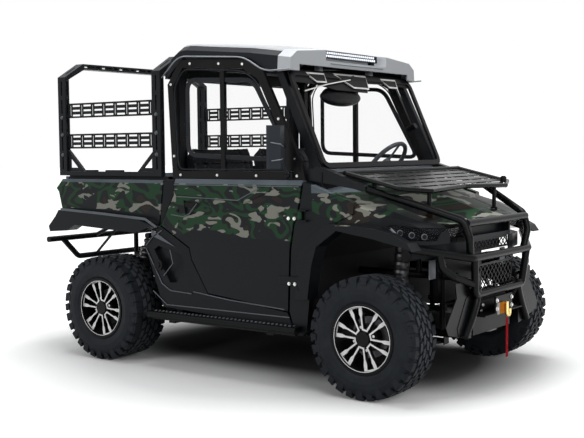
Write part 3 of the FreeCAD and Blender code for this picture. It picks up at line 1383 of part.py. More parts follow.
def lattice(outline, x0, thickness):
    """Plate in the YZ plane with diamond holes inside a plain border."""
    plate = front_prism(outline, x0, x0 + thickness)
    ys = [y for y, z in outline]
    zs = [z for y, z in outline]
    middle = (min(zs) + max(zs)) / 2
    shrunk = []
    for y, z in outline:
        shrunk.append((y - math.copysign(MESH_RIM, y), z - math.copysign(MESH_RIM, z - middle)))
    window = front_prism(shrunk, x0 - OVERRUN, x0 + thickness + OVERRUN)
    reach = (MESH_PITCH - MESH_BAR) / 2
    holes = []
    for row, z in enumerate(spaced(min(zs), max(zs), MESH_PITCH / 2)):
        shift = (row % 2) * MESH_PITCH / 2
        for y in spaced(min(ys) - shift, max(ys) + MESH_PITCH - shift, MESH_PITCH):
            corners = [(y - reach, z), (y, z + reach), (y + reach, z), (y, z - reach)]
            holes.append(front_prism(corners, x0 - OVERRUN, x0 + thickness + OVERRUN))
    return plate.cut(window.common(Part.makeCompound(holes)))


def lower_mesh():
    """Mesh plate under the grille, between the nose and the lower bar."""
    half = [(out(y), up(z)) for y, z in LOWER_MESH_SHARES]
    return lattice(half + [(-y, z) for y, z in reversed(half)], along(LOWER_MESH_X_SHARE), MESH_T)


def front_mesh():
    """Mesh plate that stands behind the loop of the bull bar."""
    half = [(out(y), up(z)) for y, z in FRONT_MESH_SHARES]
    back = along(BAR_FOOT_SHARES[1][0]) - BAR_R - SEAT_GAP - MESH_T
    return lattice(half + [(-y, z) for y, z in reversed(half)], back, MESH_T)


def fender_left():
    """Front fender with its arch flare and the pillar behind the wheel."""
    shell = nose_shell()
    bounds = shell.BoundBox
    outer = box(bounds.XMin - OVERRUN, bounds.XMax + OVERRUN, HOOD_HALF + SEAT_GAP, HALF_BODY,
                bounds.ZMin - OVERRUN, bounds.ZMax + OVERRUN)
    part = shell.common(outer).cut(cab_cutter())
    column = side_prism(side_points(COLUMN_SHARES), SIDE_Y0, HALF_BODY - OPEN_EYE_GAP)
    flare = side_prism(side_points(FLARE_OUTER_SHARES + FLARE_INNER_SHARES), SIDE_Y0, FLARE_OUT_Y)
    foot = box(along(COLUMN_FOOT_SHARES[0]), along(COLUMN_FOOT_SHARES[1]), CAGE_Y1, SIDE_Y0 + NOSE_T,
               FLOOR_Z + SHEET_T, up(COLUMN_FOOT_TOP_SHARE))
    whole = fused([part, column, flare, foot])
    whole = whole.cut(side_prism(side_points(ARCH_SHARES), HOOD_HALF, HALF_BODY * 2))
    behind = side_prism(side_points(DOOR_SHARES), DOOR_INNER_Y - OVERRUN, HALF_BODY * 2)
    whole = whole.cut(behind)
    whole = whole.cut(lamp_prism(PANEL_GAP / 2))
    for share in HINGE_Z_SHARES:
        z = up(share)
        pin_x = along(HINGE_X_SHARE)
        reach = HINGE_PIN_R * 2 + PANEL_GAP
        whole = whole.cut(box(pin_x - HALF_BODY, pin_x + reach, HALF_BODY - OPEN_EYE_GAP, HALF_BODY * 2,
                              z - HINGE_LEAF_T * 2, z + HINGE_HEIGHT + HINGE_LEAF_T * 2))
    whole = largest(whole)
    return fused([whole] + hinge_pins())


def fenders():
    return both(fender_left())


def deck_corners():
    """Corners of the hood rack in plan, from its back left round to its back right."""
    back = along(DECK_SHARES[0][0])
    front = along(DECK_SHARES[1][0])
    left = []
    for share, shift in zip(DECK_FRONT_SHARES, DECK_FRONT_SHIFTS):
        left.insert(0, (front + shift, share * DECK_HALF))
    right = [(x, -y) for x, y in reversed(left[:-1])]
    return [(back, DECK_HALF)] + left + right + [(back, -DECK_HALF)]


def deck_z(x):
    """Height of the sloping platform over the hood at x."""
    (x0, z0), (x1, z1) = side_points(DECK_SHARES)
    return z0 + (z1 - z0) * (x - x0) / (x1 - x0)


def deck_slots():
    """Rows of slots across the platform, with the bridges of one row beside the slots of the next."""
    x0 = along(DECK_SHARES[0][0]) + DECK_TUBE_R
    x1 = along(DECK_SHARES[1][0]) + DECK_FRONT_SHIFTS[0] - DECK_TUBE_R
    half = DECK_HALF - DECK_TUBE_R * 2
    pitch = DECK_SLOT_LENGTH + DECK_SLOT_BRIDGE
    limit = box(x0, x1, -half, half, 0, CAB_HEIGHT)
    slots = []
    for row, x in enumerate(spaced(x0, x1, (x1 - x0) / DECK_SLOT_ROWS)):
        shift = (row % 2) * pitch / 2
        for y in spaced(-half - shift, half + pitch - shift, pitch):
            slots.append(box(x - DECK_SLOT_W / 2, x + DECK_SLOT_W / 2, y - DECK_SLOT_LENGTH / 2,
                             y + DECK_SLOT_LENGTH / 2, up(DECK_PAD_SHARES[1][1]), CAB_HEIGHT))
    return limit.common(Part.makeCompound(slots))


def hood_rack():
    """Slotted platform over the hood inside a tube rim, on four posts."""
    corners = deck_corners()
    points = [vec(x, y, deck_z(x)) for x, y in corners]
    rim_parts = []
    for start, end in zip(points, points[1:] + points[:1]):
        rim_parts.append(rod(start, end, DECK_TUBE_R))
        rim_parts.append(Part.makeSphere(DECK_BALL_R, start))
    x0 = along(0)
    x1 = along(2)
    slope = [(x0, deck_z(x0)), (x1, deck_z(x1)), (x1, deck_z(x1) - DECK_T), (x0, deck_z(x0) - DECK_T)]
    slab = side_prism(slope, -DECK_HALF, DECK_HALF)
    inside = plan_prism([deck_inset(x, y) for x, y in corners], 0, CAB_HEIGHT)
    slab = slab.common(inside).cut(deck_slots())
    posts = []
    for x_share, z_share in DECK_PAD_SHARES:
        x = along(x_share)
        for y in (-DECK_POST_Y, DECK_POST_Y):
            post = rod(vec(x, y, up(z_share)), vec(x, y, deck_z(x) + DECK_T), DECK_POST_R)
            posts.append(largest(post.cut(post_top(x))))
    return Part.makeCompound([fused(rim_parts), largest(slab)] + posts)


def deck_inset(x, y):
    """Corner of the platform moved inwards, so that its edge lies just inside the tube rim."""
    inset = DECK_TUBE_R + SEAT_GAP
    middle = along((DECK_SHARES[0][0] + DECK_SHARES[1][0]) / 2)
    if y:
        y -= math.copysign(inset, y)
    return (x - math.copysign(inset + PANEL_GAP / 2, x - middle), y)


def post_top(x):
    """Room above the posts, from just under the platform."""
    x0 = x - DECK_PAD_R
    x1 = x + DECK_PAD_R
    low = DECK_T + SEAT_GAP
    return side_prism([(x0, deck_z(x0) - low), (x1, deck_z(x1) - low), (x1, CAB_HEIGHT), (x0, CAB_HEIGHT)],
                      -HALF_BODY, HALF_BODY)


def pillar_feet():
    """Brackets at the foot of the front pillars that the bull bar's side tubes start from."""
    foot = side_prism(side_points(PILLAR_FOOT_SHARES), PILLAR_FOOT_Y0, PILLAR_FOOT_Y1)
    foot = foot.cut(nose_solid()).cut(roll_cage()).cut(floor_pan()).cut(bar_side())
    return both(largest(foot))


# Bull bar and winch


def bar_points(shares):
    return [vec(along(x), out(y), up(z)) for x, y, z in shares]


def bar_side():
    return tube(bar_points(BAR_SIDE_SHARES), BAR_R, BAR_BEND)


def bull_bar():
    side = bar_side()
    lower = tube(bar_points(BAR_LOWER_SHARES + [(x, -y, z) for x, y, z in reversed(BAR_LOWER_SHARES)]),
                 BAR_R, BAR_BEND)
    cross = bar_points(BAR_CROSS_SHARES)
    bars = [side, mirrored(side), lower]
    for point in cross:
        bars.append(rod(vec(point.x, -point.y, point.z), point, BAR_R))
    loop = tube(bar_points(BAR_FOOT_SHARES + [(x, -y, z) for x, y, z in reversed(BAR_FOOT_SHARES)]),
                BAR_R, BAR_BEND / 2)
    bars.append(loop)
    wing = tube(bar_points(BAR_WING_SHARES), BAR_R, BAR_BEND / 2)
    bars += [wing, mirrored(wing)]
    for share in BAR_MOUNT_SHARES:
        start, end = bar_points(share)
        mount = rod(start, end, CROSS_R)
        for z in (RAIL_Z, FRAME_UPPER_Z):
            mount = mount.cut(rail(RAIL_Y, z, FRONT_UPPER_START_SHARE, RAIL_SHARES[1]))
        bars += [mount, mirrored(mount)]
    back = along(BAR_FOOT_SHARES[1][0]) - BAR_R - SEAT_GAP
    leg = front_prism([(out(y), up(z)) for y, z in BAR_LEG_SHARES], back - BAR_LEG_T, back)
    return Part.makeCompound([fused(bars), front_mesh(), leg, mirrored(leg)])


def winch():
    x = along(WINCH_X_SHARE)
    z = up(WINCH_Z_SHARE)
    drum = rod(vec(x, -WINCH_HALF, z), vec(x, WINCH_HALF, z), WINCH_R)
    face = along(FAIRLEAD_X_SHARE)
    plate = box(face - FAIRLEAD_T, face, -FAIRLEAD_HALF, FAIRLEAD_HALF, z - WINCH_R, z + WINCH_R)
    wide = out(WINCH_DECK_SHARE)
    deck = box(x - WINCH_R, face, -wide, wide, z - WINCH_R - SKID_T, z - WINCH_R)
    deck = largest(deck.cut(bull_bar()))
    return fused([drum, plate, deck])


def winch_hook():
    face = along(FAIRLEAD_X_SHARE)
    z = up(WINCH_Z_SHARE)
    x = face + HOOK_R * 2
    shank = rod(vec(face, 0, z), vec(x, 0, z), HOOK_R * 4 / 5)
    drop = tube([vec(x, 0, z + HOOK_R), vec(x, 0, z - HOOK_DROP), vec(x, HOOK_DROP / 2, z - HOOK_DROP),
                 vec(x, HOOK_DROP / 2, z - HOOK_DROP / 2)], HOOK_R, HOOK_DROP / 5)
    return fused([shank, drop])


def winch_strap():
    face = along(FAIRLEAD_X_SHARE)
    x = face + HOOK_R * 2
    top = up(WINCH_Z_SHARE) - HOOK_DROP - HOOK_R
    return box(x - STRAP_T / 2, x + STRAP_T / 2, -STRAP_W / 2, STRAP_W / 2, top - STRAP_LENGTH, top)


# Cargo bed


def bed_tub():
    x0, x1 = [along(share) for share in BED_X_SHARES]
    floor = up(BED_FLOOR_Z_SHARE)
    top = up(BED_TOP_Z_SHARE)
    body = box(x0, x1, -BED_HALF, BED_HALF, floor, top)
    inside = box(x0 - OVERRUN, x1 - BED_WALL, BED_WALL - BED_HALF, BED_HALF - BED_WALL,
                 floor + BED_WALL, top + OVERRUN)
    tub = body.cut(inside)
    pivot_x = along(BED_PIVOT_SHARES[0])
    pivot_z = up(BED_PIVOT_SHARES[1])
    lugs = []
    for side in (-1, 1):
        y = side * bed_lug_y()
        y0, y1 = sorted((y, y + side * BED_LUG_T))
        lugs.append(box(pivot_x - BED_PIN_R * 2, pivot_x + BED_PIN_R * 2, y0, y1,
                        pivot_z - BED_PIN_R * 2, floor))
    ribs = []
    for y in spaced(BED_WALL - BED_HALF, BED_HALF - BED_WALL, BED_RIB_PITCH):
        ribs.append(box(x0 + BED_RIB_W, x1 - BED_RIB_W, y - BED_RIB_W / 2, y + BED_RIB_W / 2,
                        floor + BED_WALL, floor + BED_WALL + BED_RIB_H))
    tub = fused([tub] + lugs + ribs)
    return tub.cut(rod(vec(pivot_x, -BED_HALF, pivot_z), vec(pivot_x, BED_HALF, pivot_z),
                       BED_PIN_R + RUN_CLEARANCE))


def bed_side():
    panel = side_prism(side_points(BED_SIDE_SHARES), BED_HALF, BED_SIDE_Y1)
    flare = side_prism(side_points(BED_FLARE_SHARES), BED_HALF, BED_FLARE_Y1)
    pin_x = along(TAILGATE_HINGE_SHARES[0])
    pin_z = up(TAILGATE_HINGE_SHARES[1])
    pin = rod(vec(pin_x, BED_HALF - TAILGATE_PIN_R * 4, pin_z), vec(pin_x, BED_HALF, pin_z),
              TAILGATE_PIN_R)
    return fused([panel, flare, pin])


def bed_sides():
    return both(bed_side())


def tailgate():
    x = along(TAILGATE_HINGE_SHARES[0])
    z = up(TAILGATE_HINGE_SHARES[1])
    half = BED_HALF - TAILGATE_GAP
    half_t = TAILGATE_T / 2
    panel = box(x - half_t, x + half_t, -half, half, z, up(BED_TOP_Z_SHARE) - TAILGATE_GAP)
    knuckle = rod(vec(x, -half, z), vec(x, half, z), half_t)
    pocket = box(x - half_t - OVERRUN, x - half_t + TAILGATE_POCKET, TAILGATE_MARGIN - half,
                 half - TAILGATE_MARGIN, z + TAILGATE_MARGIN, up(BED_TOP_Z_SHARE) - TAILGATE_MARGIN)
    panel = fused([panel, knuckle]).cut(pocket)
    return panel.cut(rod(vec(x, -BED_HALF, z), vec(x, BED_HALF, z), TAILGATE_PIN_R + RUN_CLEARANCE))


def rack_post(x0):
    """Post with slots through both pairs of faces, left side."""
    base = up(BED_TOP_Z_SHARE) + RACK_RAIL_H + SEAT_GAP
    top = up(HOOP_CORNER_SHARE) - HOOP_T / 3 - SEAT_GAP
    inner = HOOP_OUTER_Y - HOOP_T
    post = box(x0, x0 + HOOP_W, inner, HOOP_OUTER_Y, base, top)
    middle_x = x0 + HOOP_W / 2
    middle_y = HOOP_OUTER_Y - HOOP_T / 2
    half_w = RACK_SLOT_W / 2
    slots = []
    for z in spaced(base, top, RACK_SLOT_PITCH):
        low = z - RACK_SLOT_LENGTH / 2
        high = z + RACK_SLOT_LENGTH / 2
        slots.append(box(middle_x - half_w, middle_x + half_w, inner - OVERRUN, HOOP_OUTER_Y + OVERRUN,
                         low, high))
        slots.append(box(x0 - OVERRUN, x0 + HOOP_W + OVERRUN, middle_y - half_w, middle_y + half_w,
                         low, high))
    return post.cut(fused(slots))


def rack_corner(x0):
    """Corner plate between a post and its crossbar, with one slot along the slope, left side."""
    top = up(HOOP_TOP_SHARE)
    high = up(HOOP_CORNER_SHARE)
    low = high - HOOP_T / 3
    end = HOOP_CORNER_Y - HOOP_T / 3
    outline = [(HOOP_OUTER_Y, low), (HOOP_OUTER_Y, high), (HOOP_CORNER_Y, top), (end, top),
               (end, top - HOOP_T), (HOOP_OUTER_Y - HOOP_T, low)]
    plate = front_prism(outline, x0, x0 + HOOP_W)
    slope = vec(0, HOOP_CORNER_Y - HOOP_OUTER_Y, top - high).normalize()
    across = vec(0, slope.z, -slope.y)
    centre = vec(0, (HOOP_OUTER_Y + HOOP_CORNER_Y) / 2, (high + top) / 2)
    corners = []
    for run, reach in ((-1, -1), (1, -1), (1, 1), (-1, 1)):
        corner = centre + slope * (run * RACK_SLOT_LENGTH / 2) + across * (reach * HOOP_T * 2)
        corners.append((corner.y, corner.z))
    middle_x = x0 + HOOP_W / 2
    return plate.cut(front_prism(corners, middle_x - RACK_SLOT_W / 2, middle_x + RACK_SLOT_W / 2))


def rack_crossbar(x0):
    """Bar over the bed with long and short slots in turn."""
    top = up(HOOP_TOP_SHARE)
    half = HOOP_CORNER_Y - HOOP_T / 3 - SEAT_GAP
    bar = box(x0, x0 + HOOP_W, -half, half, top - HOOP_T, top)
    middle_x = x0 + HOOP_W / 2
    middle_z = top - HOOP_T / 2
    half_w = RACK_SLOT_W / 2
    slots = []
    for index, y in enumerate(spaced(-half, half, RACK_SLOT_PITCH * 2 / 3)):
        reach = (RACK_SLOT_LENGTH, RACK_SHORT_SLOT)[index % 2] / 2
        slots.append(box(middle_x - half_w, middle_x + half_w, y - reach, y + reach,
                         top - HOOP_T - OVERRUN, top + OVERRUN))
        slots.append(box(x0 - OVERRUN, x0 + HOOP_W + OVERRUN, y - reach, y + reach, middle_z - half_w,
                         middle_z + half_w))
    return bar.cut(fused(slots))


def rack_panel(x0, x1, low, high):
    """Side plate between two posts: bays of three slots with an upright slot between them."""
    y1 = HOOP_OUTER_Y - HOOP_T / 2
    y0 = y1 - RACK_PANEL_T
    plate = box(x0, x1, y0, y1, low, high)
    start = x0 + RACK_END_PLATE
    end = x1 - RACK_END_PLATE
    middles = spaced(start, end, RACK_BAY)
    bay = (end - start) / len(middles)
    height = high - low
    half_l = bay * RACK_BAY_SLOT_SHARE / 2
    half_h = RACK_BAY_SLOT_H / 2
    slots = []
    for middle in middles:
        for share in RACK_BAY_SLOTS:
            z = low + height * share
            slots.append(box(middle - half_l, middle + half_l, y0 - OVERRUN, y1 + OVERRUN, z - half_h,
                             z + half_h))
    half_w = RACK_UPRIGHT_SLOT_W / 2
    middle_z = (low + high) / 2
    reach = height * RACK_UPRIGHT_SLOT_SHARE / 2
    for middle in [start] + [middle + bay / 2 for middle in middles]:
        slots.append(box(middle - half_w, middle + half_w, y0 - OVERRUN, y1 + OVERRUN, middle_z - reach,
                         middle_z + reach))
    return plate.cut(Part.makeCompound(slots))


def rack_gusset(x, toward, base):
    """Three-cornered brace with a flange on its slope; toward is 1 to reach forward, -1 back."""
    y1 = HOOP_OUTER_Y - HOOP_T / 2
    y0 = y1 - GUSSET_T
    tip_x = x + toward * GUSSET_L
    tip_z = base + GUSSET_H
    plate = side_prism([(x, base), (tip_x, base), (x, tip_z)], y0, y1)
    slope = math.hypot(GUSSET_L, GUSSET_H)
    shrink = 1 - GUSSET_MEMBER * (GUSSET_L + GUSSET_H + slope) / (GUSSET_L * GUSSET_H)
    corner = (x + toward * GUSSET_MEMBER, base + GUSSET_MEMBER)
    hole = side_prism([corner, (corner[0] + toward * GUSSET_L * shrink, corner[1]),
                       (corner[0], corner[1] + GUSSET_H * shrink)], y0 - OVERRUN, y1 + OVERRUN)
    drop = GUSSET_T * slope / GUSSET_L
    flange = side_prism([(tip_x, base), (x, tip_z), (x, tip_z - drop), (tip_x - toward * drop, base)],
                        y0 - GUSSET_FLANGE / 2, y1)
    return fused([plate.cut(hole), flange])


def bed_rack():
    """Two slotted hoops on base rails, with slotted side panels and braces between them."""
    starts = [along(share) for share in HOOP_X_SHARES]
    x0 = starts[0] + HOOP_W + SEAT_GAP
    x1 = starts[1] - SEAT_GAP
    base = up(BED_TOP_Z_SHARE)
    rail_top = base + RACK_RAIL_H
    parts = [box(starts[0], starts[1] + HOOP_W, HOOP_OUTER_Y - HOOP_T, HOOP_OUTER_Y, base, rail_top)]
    for first, last in RACK_TAB_SHARES:
        tab = box(along(first), along(last), HOOP_OUTER_Y - HOOP_T, HOOP_OUTER_Y, base,
                  rail_top + RACK_TAB_H)
        parts[0] = fused([parts[0], tab])
    for x in starts:
        parts += [rack_post(x), rack_corner(x)]
    for low, high in RACK_PANEL_Z_SHARES:
        parts.append(rack_panel(x0, x1, up(low), up(high)))
    parts.append(rack_gusset(x0, 1, rail_top + SEAT_GAP))
    parts.append(rack_gusset(x1, -1, rail_top + SEAT_GAP))
    left = Part.makeCompound(parts)
    return Part.makeCompound([left, mirrored(left)] + [rack_crossbar(x) for x in starts])


def rear_bumper():
    """Tube bumper that hangs from the underside of the bed."""
    x = along(BUMPER_X_SHARE)
    high = up(BUMPER_Z_SHARES[0])
    low = up(BUMPER_Z_SHARES[1])
    upper = rod(vec(x, -BUMPER_HALF, high), vec(x, BUMPER_HALF, high), BUMPER_R)
    fall = out(BUMPER_FALL_SHARES[0])
    foot = out(BUMPER_FALL_SHARES[1])
    lower = tube([vec(x, fall, high), vec(x, foot, low), vec(x, -foot, low), vec(x, -fall, high)],
                 BUMPER_R, BAR_BEND)
    floor = up(BED_FLOOR_Z_SHARE)
    arms = []
    for side in (-1, 1):
        y = side * BUMPER_ARM_Y
        start = vec(along(BED_X_SHARES[0]) + BUMPER_R * 4, y, floor - BUMPER_R)
        arms.append(rod(start, vec(x, y, high), BUMPER_R * 2 / 3))
        arms.append(rod(vec(start.x, y, floor - BUMPER_R * 2), vec(start.x, y, floor), BUMPER_R))
        brace = [(start.x, floor - BUMPER_R), (start.x + BUMPER_BRACE_W, floor - BUMPER_R),
                 (x + BUMPER_BRACE_W / 2, low), (x - BUMPER_BRACE_W / 2, low)]
        arms.append(side_prism(brace, y - BUMPER_BRACE_T / 2, y + BUMPER_BRACE_T / 2))
    return fused([upper, lower] + arms)


def hitch_receiver():
    x = along(RAIL_SHARES[0])
    half = HITCH_TUBE / 2
    bar = box(x - HITCH_LENGTH, x + RAIL_R, -half, half, RAIL_Z - half, RAIL_Z + half)
    hole = box(x - HITCH_LENGTH - OVERRUN, x - RAIL_R, HITCH_WALL - half, half - HITCH_WALL,
               RAIL_Z - half + HITCH_WALL, RAIL_Z + half - HITCH_WALL)
    cross = box(x, x + RAIL_R * 2, RAIL_R - RAIL_Y, RAIL_Y - RAIL_R, RAIL_Z - RAIL_R, RAIL_Z + RAIL_R)
    bore = rod(vec(x - HITCH_PIN_BACK, -half - OVERRUN, RAIL_Z),
               vec(x - HITCH_PIN_BACK, half + OVERRUN, RAIL_Z), HITCH_PIN_R)
    return fused([bar, cross]).cut(hole).cut(bore)


NODES = {
    "frame": frame,
    "skid_plate": skid_plate,
    "floor_pan": floor_pan,
    "roll_cage": roll_cage,
    "cab_back": cab_back,
    "cab_glass": cab_glass,
    "dashboard": dashboard,
    "seats": seats,
    "engine_block": engine_block,
    "steering_column": steering_column,
    "roof": roof,
    "light_bar": light_bar,
    "side_panels": side_panels,
    "step_bars": step_bars,
    "hood": hood,
    "fenders": fenders,
    "fascia": fascia,
    "headlights": headlights,
    "hood_rack": hood_rack,
    "pillar_feet": pillar_feet,
    "bull_bar": bull_bar,
    "winch": winch,
    "winch_hook": winch_hook,
    "winch_strap": winch_strap,
    "front_arms": front_arms,
    "rear_arms": rear_arms,
    "shocks": shocks,
    "drive_line": drive_line,
    "hitch_receiver": hitch_receiver,
    "steering_rack": steering_rack,
    "steering_wheel": steering_wheel,
    "bed_tub": bed_tub,
    "bed_sides": bed_sides,
    "tailgate": tailgate,
    "bed_rack": bed_rack,
    "rear_bumper": rear_bumper,
}


def paired_nodes():
    """Pieces that move on each side by themselves, named by side."""
    left = {
        "knuckle": knuckle_left(),
        "tyre_front": tyre(FRONT_AXLE_X, FRONT_TYRE_W),
        "rim_front": rim(FRONT_AXLE_X, FRONT_TYRE_W),
        "tyre_rear": tyre(REAR_AXLE_X, REAR_TYRE_W),
        "rim_rear": rim(REAR_AXLE_X, REAR_TYRE_W),
        "door_skin": door_skin(),
        "door_frame": door_frame(),
        "door_glass": door_glass(),
    }
    nodes = {}
    for name, shape in left.items():
        nodes[name + "_left"] = shape
        nodes[name + "_right"] = mirrored(shape)
    nodes["mirror_right"] = mirrored(mirror())
    return nodes


def main():
    os.makedirs("parts", exist_ok=True)
    shapes = {name: make() for name, make in NODES.items()}
    shapes.update(paired_nodes())
    for name, shape in shapes.items():
        shape.exportStep("parts/" + name + ".step")
    whole = Part.makeCompound(list(shapes.values())).BoundBox
    print("box", whole.XMin, whole.XMax, whole.YMin, whole.YMax, whole.ZMin, whole.ZMax)


main()
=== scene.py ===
import math

import bmesh
import bpy
from mathutils import Matrix, Vector
from mathutils.bvhtree import BVHTree


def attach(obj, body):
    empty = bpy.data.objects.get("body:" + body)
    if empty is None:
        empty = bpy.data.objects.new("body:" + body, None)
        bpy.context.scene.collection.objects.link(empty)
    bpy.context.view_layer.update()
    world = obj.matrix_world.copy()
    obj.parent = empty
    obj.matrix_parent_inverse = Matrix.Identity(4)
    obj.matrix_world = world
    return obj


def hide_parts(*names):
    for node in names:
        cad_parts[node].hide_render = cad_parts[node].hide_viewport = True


# Sizes in metres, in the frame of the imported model: +X forward, +Y to the left, +Z up.
WHEELBASE = 1.965
AXLE_MID_X = 0.0815
CAB_HEIGHT = 1.961
HALF_BODY = 0.745
TYRE_OD = 0.66
REAR_AXLE_X = AXLE_MID_X - WHEELBASE / 2
FRONT_AXLE_X = AXLE_MID_X + WHEELBASE / 2
HUB_Z = TYRE_OD / 2
TYRE_FACE_Y = 0.83
FRONT_TYRE_W = 0.229
REAR_TYRE_W = 0.279
LUG_H = 0.0115
SIDES = (-1, 1)
FORWARD = (1, 0, 0)
ACROSS = (0, 1, 0)
UPWARD = (0, 0, 1)
# Sides of round sections.
HEXAGON = 6
COARSE = 8
MEDIUM = 12
ROUND = 16
FINE = 20
BALL_RINGS = 10
DOME_SIDES = 24
DOME_RINGS = 14
SQUARE = ((-1, -1), (1, -1), (1, 1), (-1, 1))


def along(share):
    return REAR_AXLE_X + share * WHEELBASE


def up(share):
    return share * CAB_HEIGHT


# Shader helpers


def feed(tree, node, inputs):
    """Sets inputs of a node; each is a value or the socket that feeds it."""
    for name, value in inputs.items():
        if isinstance(value, bpy.types.NodeSocket):
            tree.links.new(value, node.inputs[name])
        else:
            node.inputs[name].default_value = value


def new_node(tree, kind, inputs=None, **settings):
    node = tree.nodes.new("ShaderNode" + kind)
    for name, value in settings.items():
        setattr(node, name, value)
    feed(tree, node, inputs or {})
    return node


def calc(tree, operation, *values):
    return new_node(tree, "Math", dict(enumerate(values)), operation=operation).outputs[0]


def object_coords(tree):
    return new_node(tree, "TexCoord").outputs["Object"]


def axes(tree, coords):
    """The X, Y and Z of a place."""
    return new_node(tree, "SeparateXYZ", {0: coords}).outputs


def stretched(tree, coords, scale):
    return new_node(tree, "Mapping", {"Vector": coords, "Scale": scale}).outputs["Vector"]


def noise(tree, coords, scale, detail=2.0, distortion=0.0):
    inputs = {"Vector": coords, "Scale": scale, "Detail": detail, "Distortion": distortion}
    return new_node(tree, "TexNoise", inputs).outputs["Fac"]


def ramp(tree, factor, stops, interpolation="LINEAR"):
    """Colour along stops of (place, colour)."""
    node = new_node(tree, "ValToRGB", {"Fac": factor})
    node.color_ramp.interpolation = interpolation
    elements = node.color_ramp.elements
    while len(elements) < len(stops):
        elements.new(1.0)
    for element, (place, colour) in zip(elements, stops):
        element.position = place
        element.color = (*colour, 1)
    return node.outputs["Color"]


def mixed(tree, factor, first, second):
    """Colour mix; each side is a colour or a socket."""
    node = new_node(tree, "Mix", {"Factor": factor}, data_type="RGBA")
    sides = [socket for socket in node.inputs if socket.type == "RGBA"]
    for value, socket in zip((first, second), sides):
        if isinstance(value, tuple):
            socket.default_value = (*value, 1)
        else:
            tree.links.new(value, socket)
    return next(socket for socket in node.outputs if socket.type == "RGBA")


def spread(tree, factor, low, high):
    """A factor of 0 to 1 carried over to low and high."""
    return new_node(tree, "MapRange", {"Value": factor, "To Min": low, "To Max": high}).outputs["Result"]


def bump(tree, height, strength, depth, edge=0.0):
    """Normal of a bumpy surface; an edge radius softens the edges of the mesh under it."""
    inputs = {"Height": height, "Strength": strength, "Distance": depth}
    if edge:
        inputs["Normal"] = new_node(tree, "Bevel", {"Radius": edge}, samples=4).outputs["Normal"]
    return new_node(tree, "Bump", inputs).outputs["Normal"]


def new_material(name, colour, roughness, metallic=0.0, specular=0.1):
    mat = bpy.data.materials.new(name)
    mat.use_nodes = True
    tree = mat.node_tree
    shader = tree.nodes["Principled BSDF"]
    feed(tree, shader, {"Base Color": (*colour, 1), "Roughness": roughness, "Metallic": metallic,
                        "Specular IOR Level": METAL_SPECULAR if metallic > 0 else specular})
    return mat, tree, shader, object_coords(tree)


def dress(tree, shader, colour, roughness, normal):
    feed(tree, shader, {"Base Color": colour, "Roughness": roughness, "Normal": normal})


# Camera, floor and light

CAMERA_PLACE = (3.958, -5.337, 1.327)
CAMERA_YAW = 36.47
CAMERA_PITCH = 3.88
CAMERA_ROLL = -0.546
CAMERA_LENS = 63.83
SENSOR_WIDTH = 36.0
# Painted shadow under the vehicle: middle, half lengths, corner power and fade shares of its rounded
# rectangle.
SHADE_CENTRE = (0.06, 0.20)
SHADE_HALF = (1.40, 0.68)
SHADE_POWER = 4
SHADE_SHARES = (0.72, 1.2)
FLOOR_REACH = 60.0
FLOOR_FADE = (1.2, 3.2)
FLOOR_WHITE = (0.94, 0.94, 0.94)
# Dark colour of the painted shadow under the vehicle.
FLOOR_PAINTED_SHADOW = (0.09, 0.09, 0.095)
FLOOR_BOUNCE = (0.07, 0.07, 0.075)
SKY_COLOUR = (0.96, 0.98, 1)
SKY_STRENGTH = 0.26
# Place, target, width and watts of each lamp.
LAMPS = {
    "top_light": ((0.2, 0.2, 5.5), (0, 0, 0.5), 3.2, 200),
    "front_light": ((6.5, -3.5, 3.2), (0.3, 0, 0.8), 3.0, 165),
    "side_light": ((-1.5, -7.5, 3.6), (0, 0, 0.8), 3.0, 140),
}


def linked(name, data):
    """New object in the scene."""
    made = bpy.data.objects.new(name, data)
    bpy.context.scene.collection.objects.link(made)
    return made


def make_camera():
    data = bpy.data.cameras.new("camera")
    data.lens = CAMERA_LENS
    data.sensor_width = SENSOR_WIDTH
    camera = linked("camera", data)
    turn = Matrix.Rotation(math.radians(CAMERA_YAW), 4, "Z")
    turn = turn @ Matrix.Rotation(math.radians(90 - CAMERA_PITCH), 4, "X")
    turn = turn @ Matrix.Rotation(math.radians(CAMERA_ROLL), 4, "Z")
    camera.matrix_world = Matrix.Translation(CAMERA_PLACE) @ turn
    bpy.context.scene.camera = camera


def seen_straight(tree):
    """1 for rays from the camera, through glass and off a gloss, 0 for rays that gather light."""
    path = new_node(tree, "LightPath").outputs
    through = calc(tree, "MAXIMUM", path["Is Camera Ray"], path["Is Transmission Ray"])
    return calc(tree, "MAXIMUM", through, path["Is Glossy Ray"])


def show_straight(tree, gathered, seen, output):
    """One shader for what is seen, another for the light that it gives."""
    inputs = {0: seen_straight(tree), 1: gathered.outputs[0], 2: seen.outputs[0]}
    feed(tree, output, {"Surface": new_node(tree, "MixShader", inputs).outputs[0]})


def painted_ground_shadow(tree, coords):
    """Painted shadow mask: 0 under the vehicle, 1 outside a rounded rectangle."""
    place = axes(tree, coords)
    powers = []
    for axis, middle, half in zip("XY", SHADE_CENTRE, SHADE_HALF):
        off = calc(tree, "ABSOLUTE", calc(tree, "SUBTRACT", place[axis], middle))
        powers.append(calc(tree, "POWER", calc(tree, "DIVIDE", off, half), SHADE_POWER))
    reach = calc(tree, "POWER", calc(tree, "ADD", *powers), 1 / SHADE_POWER)
    inputs = {"Value": reach, "From Min": SHADE_SHARES[0], "From Max": SHADE_SHARES[1]}
    return new_node(tree, "MapRange", inputs, interpolation_type="SMOOTHSTEP").outputs["Result"]


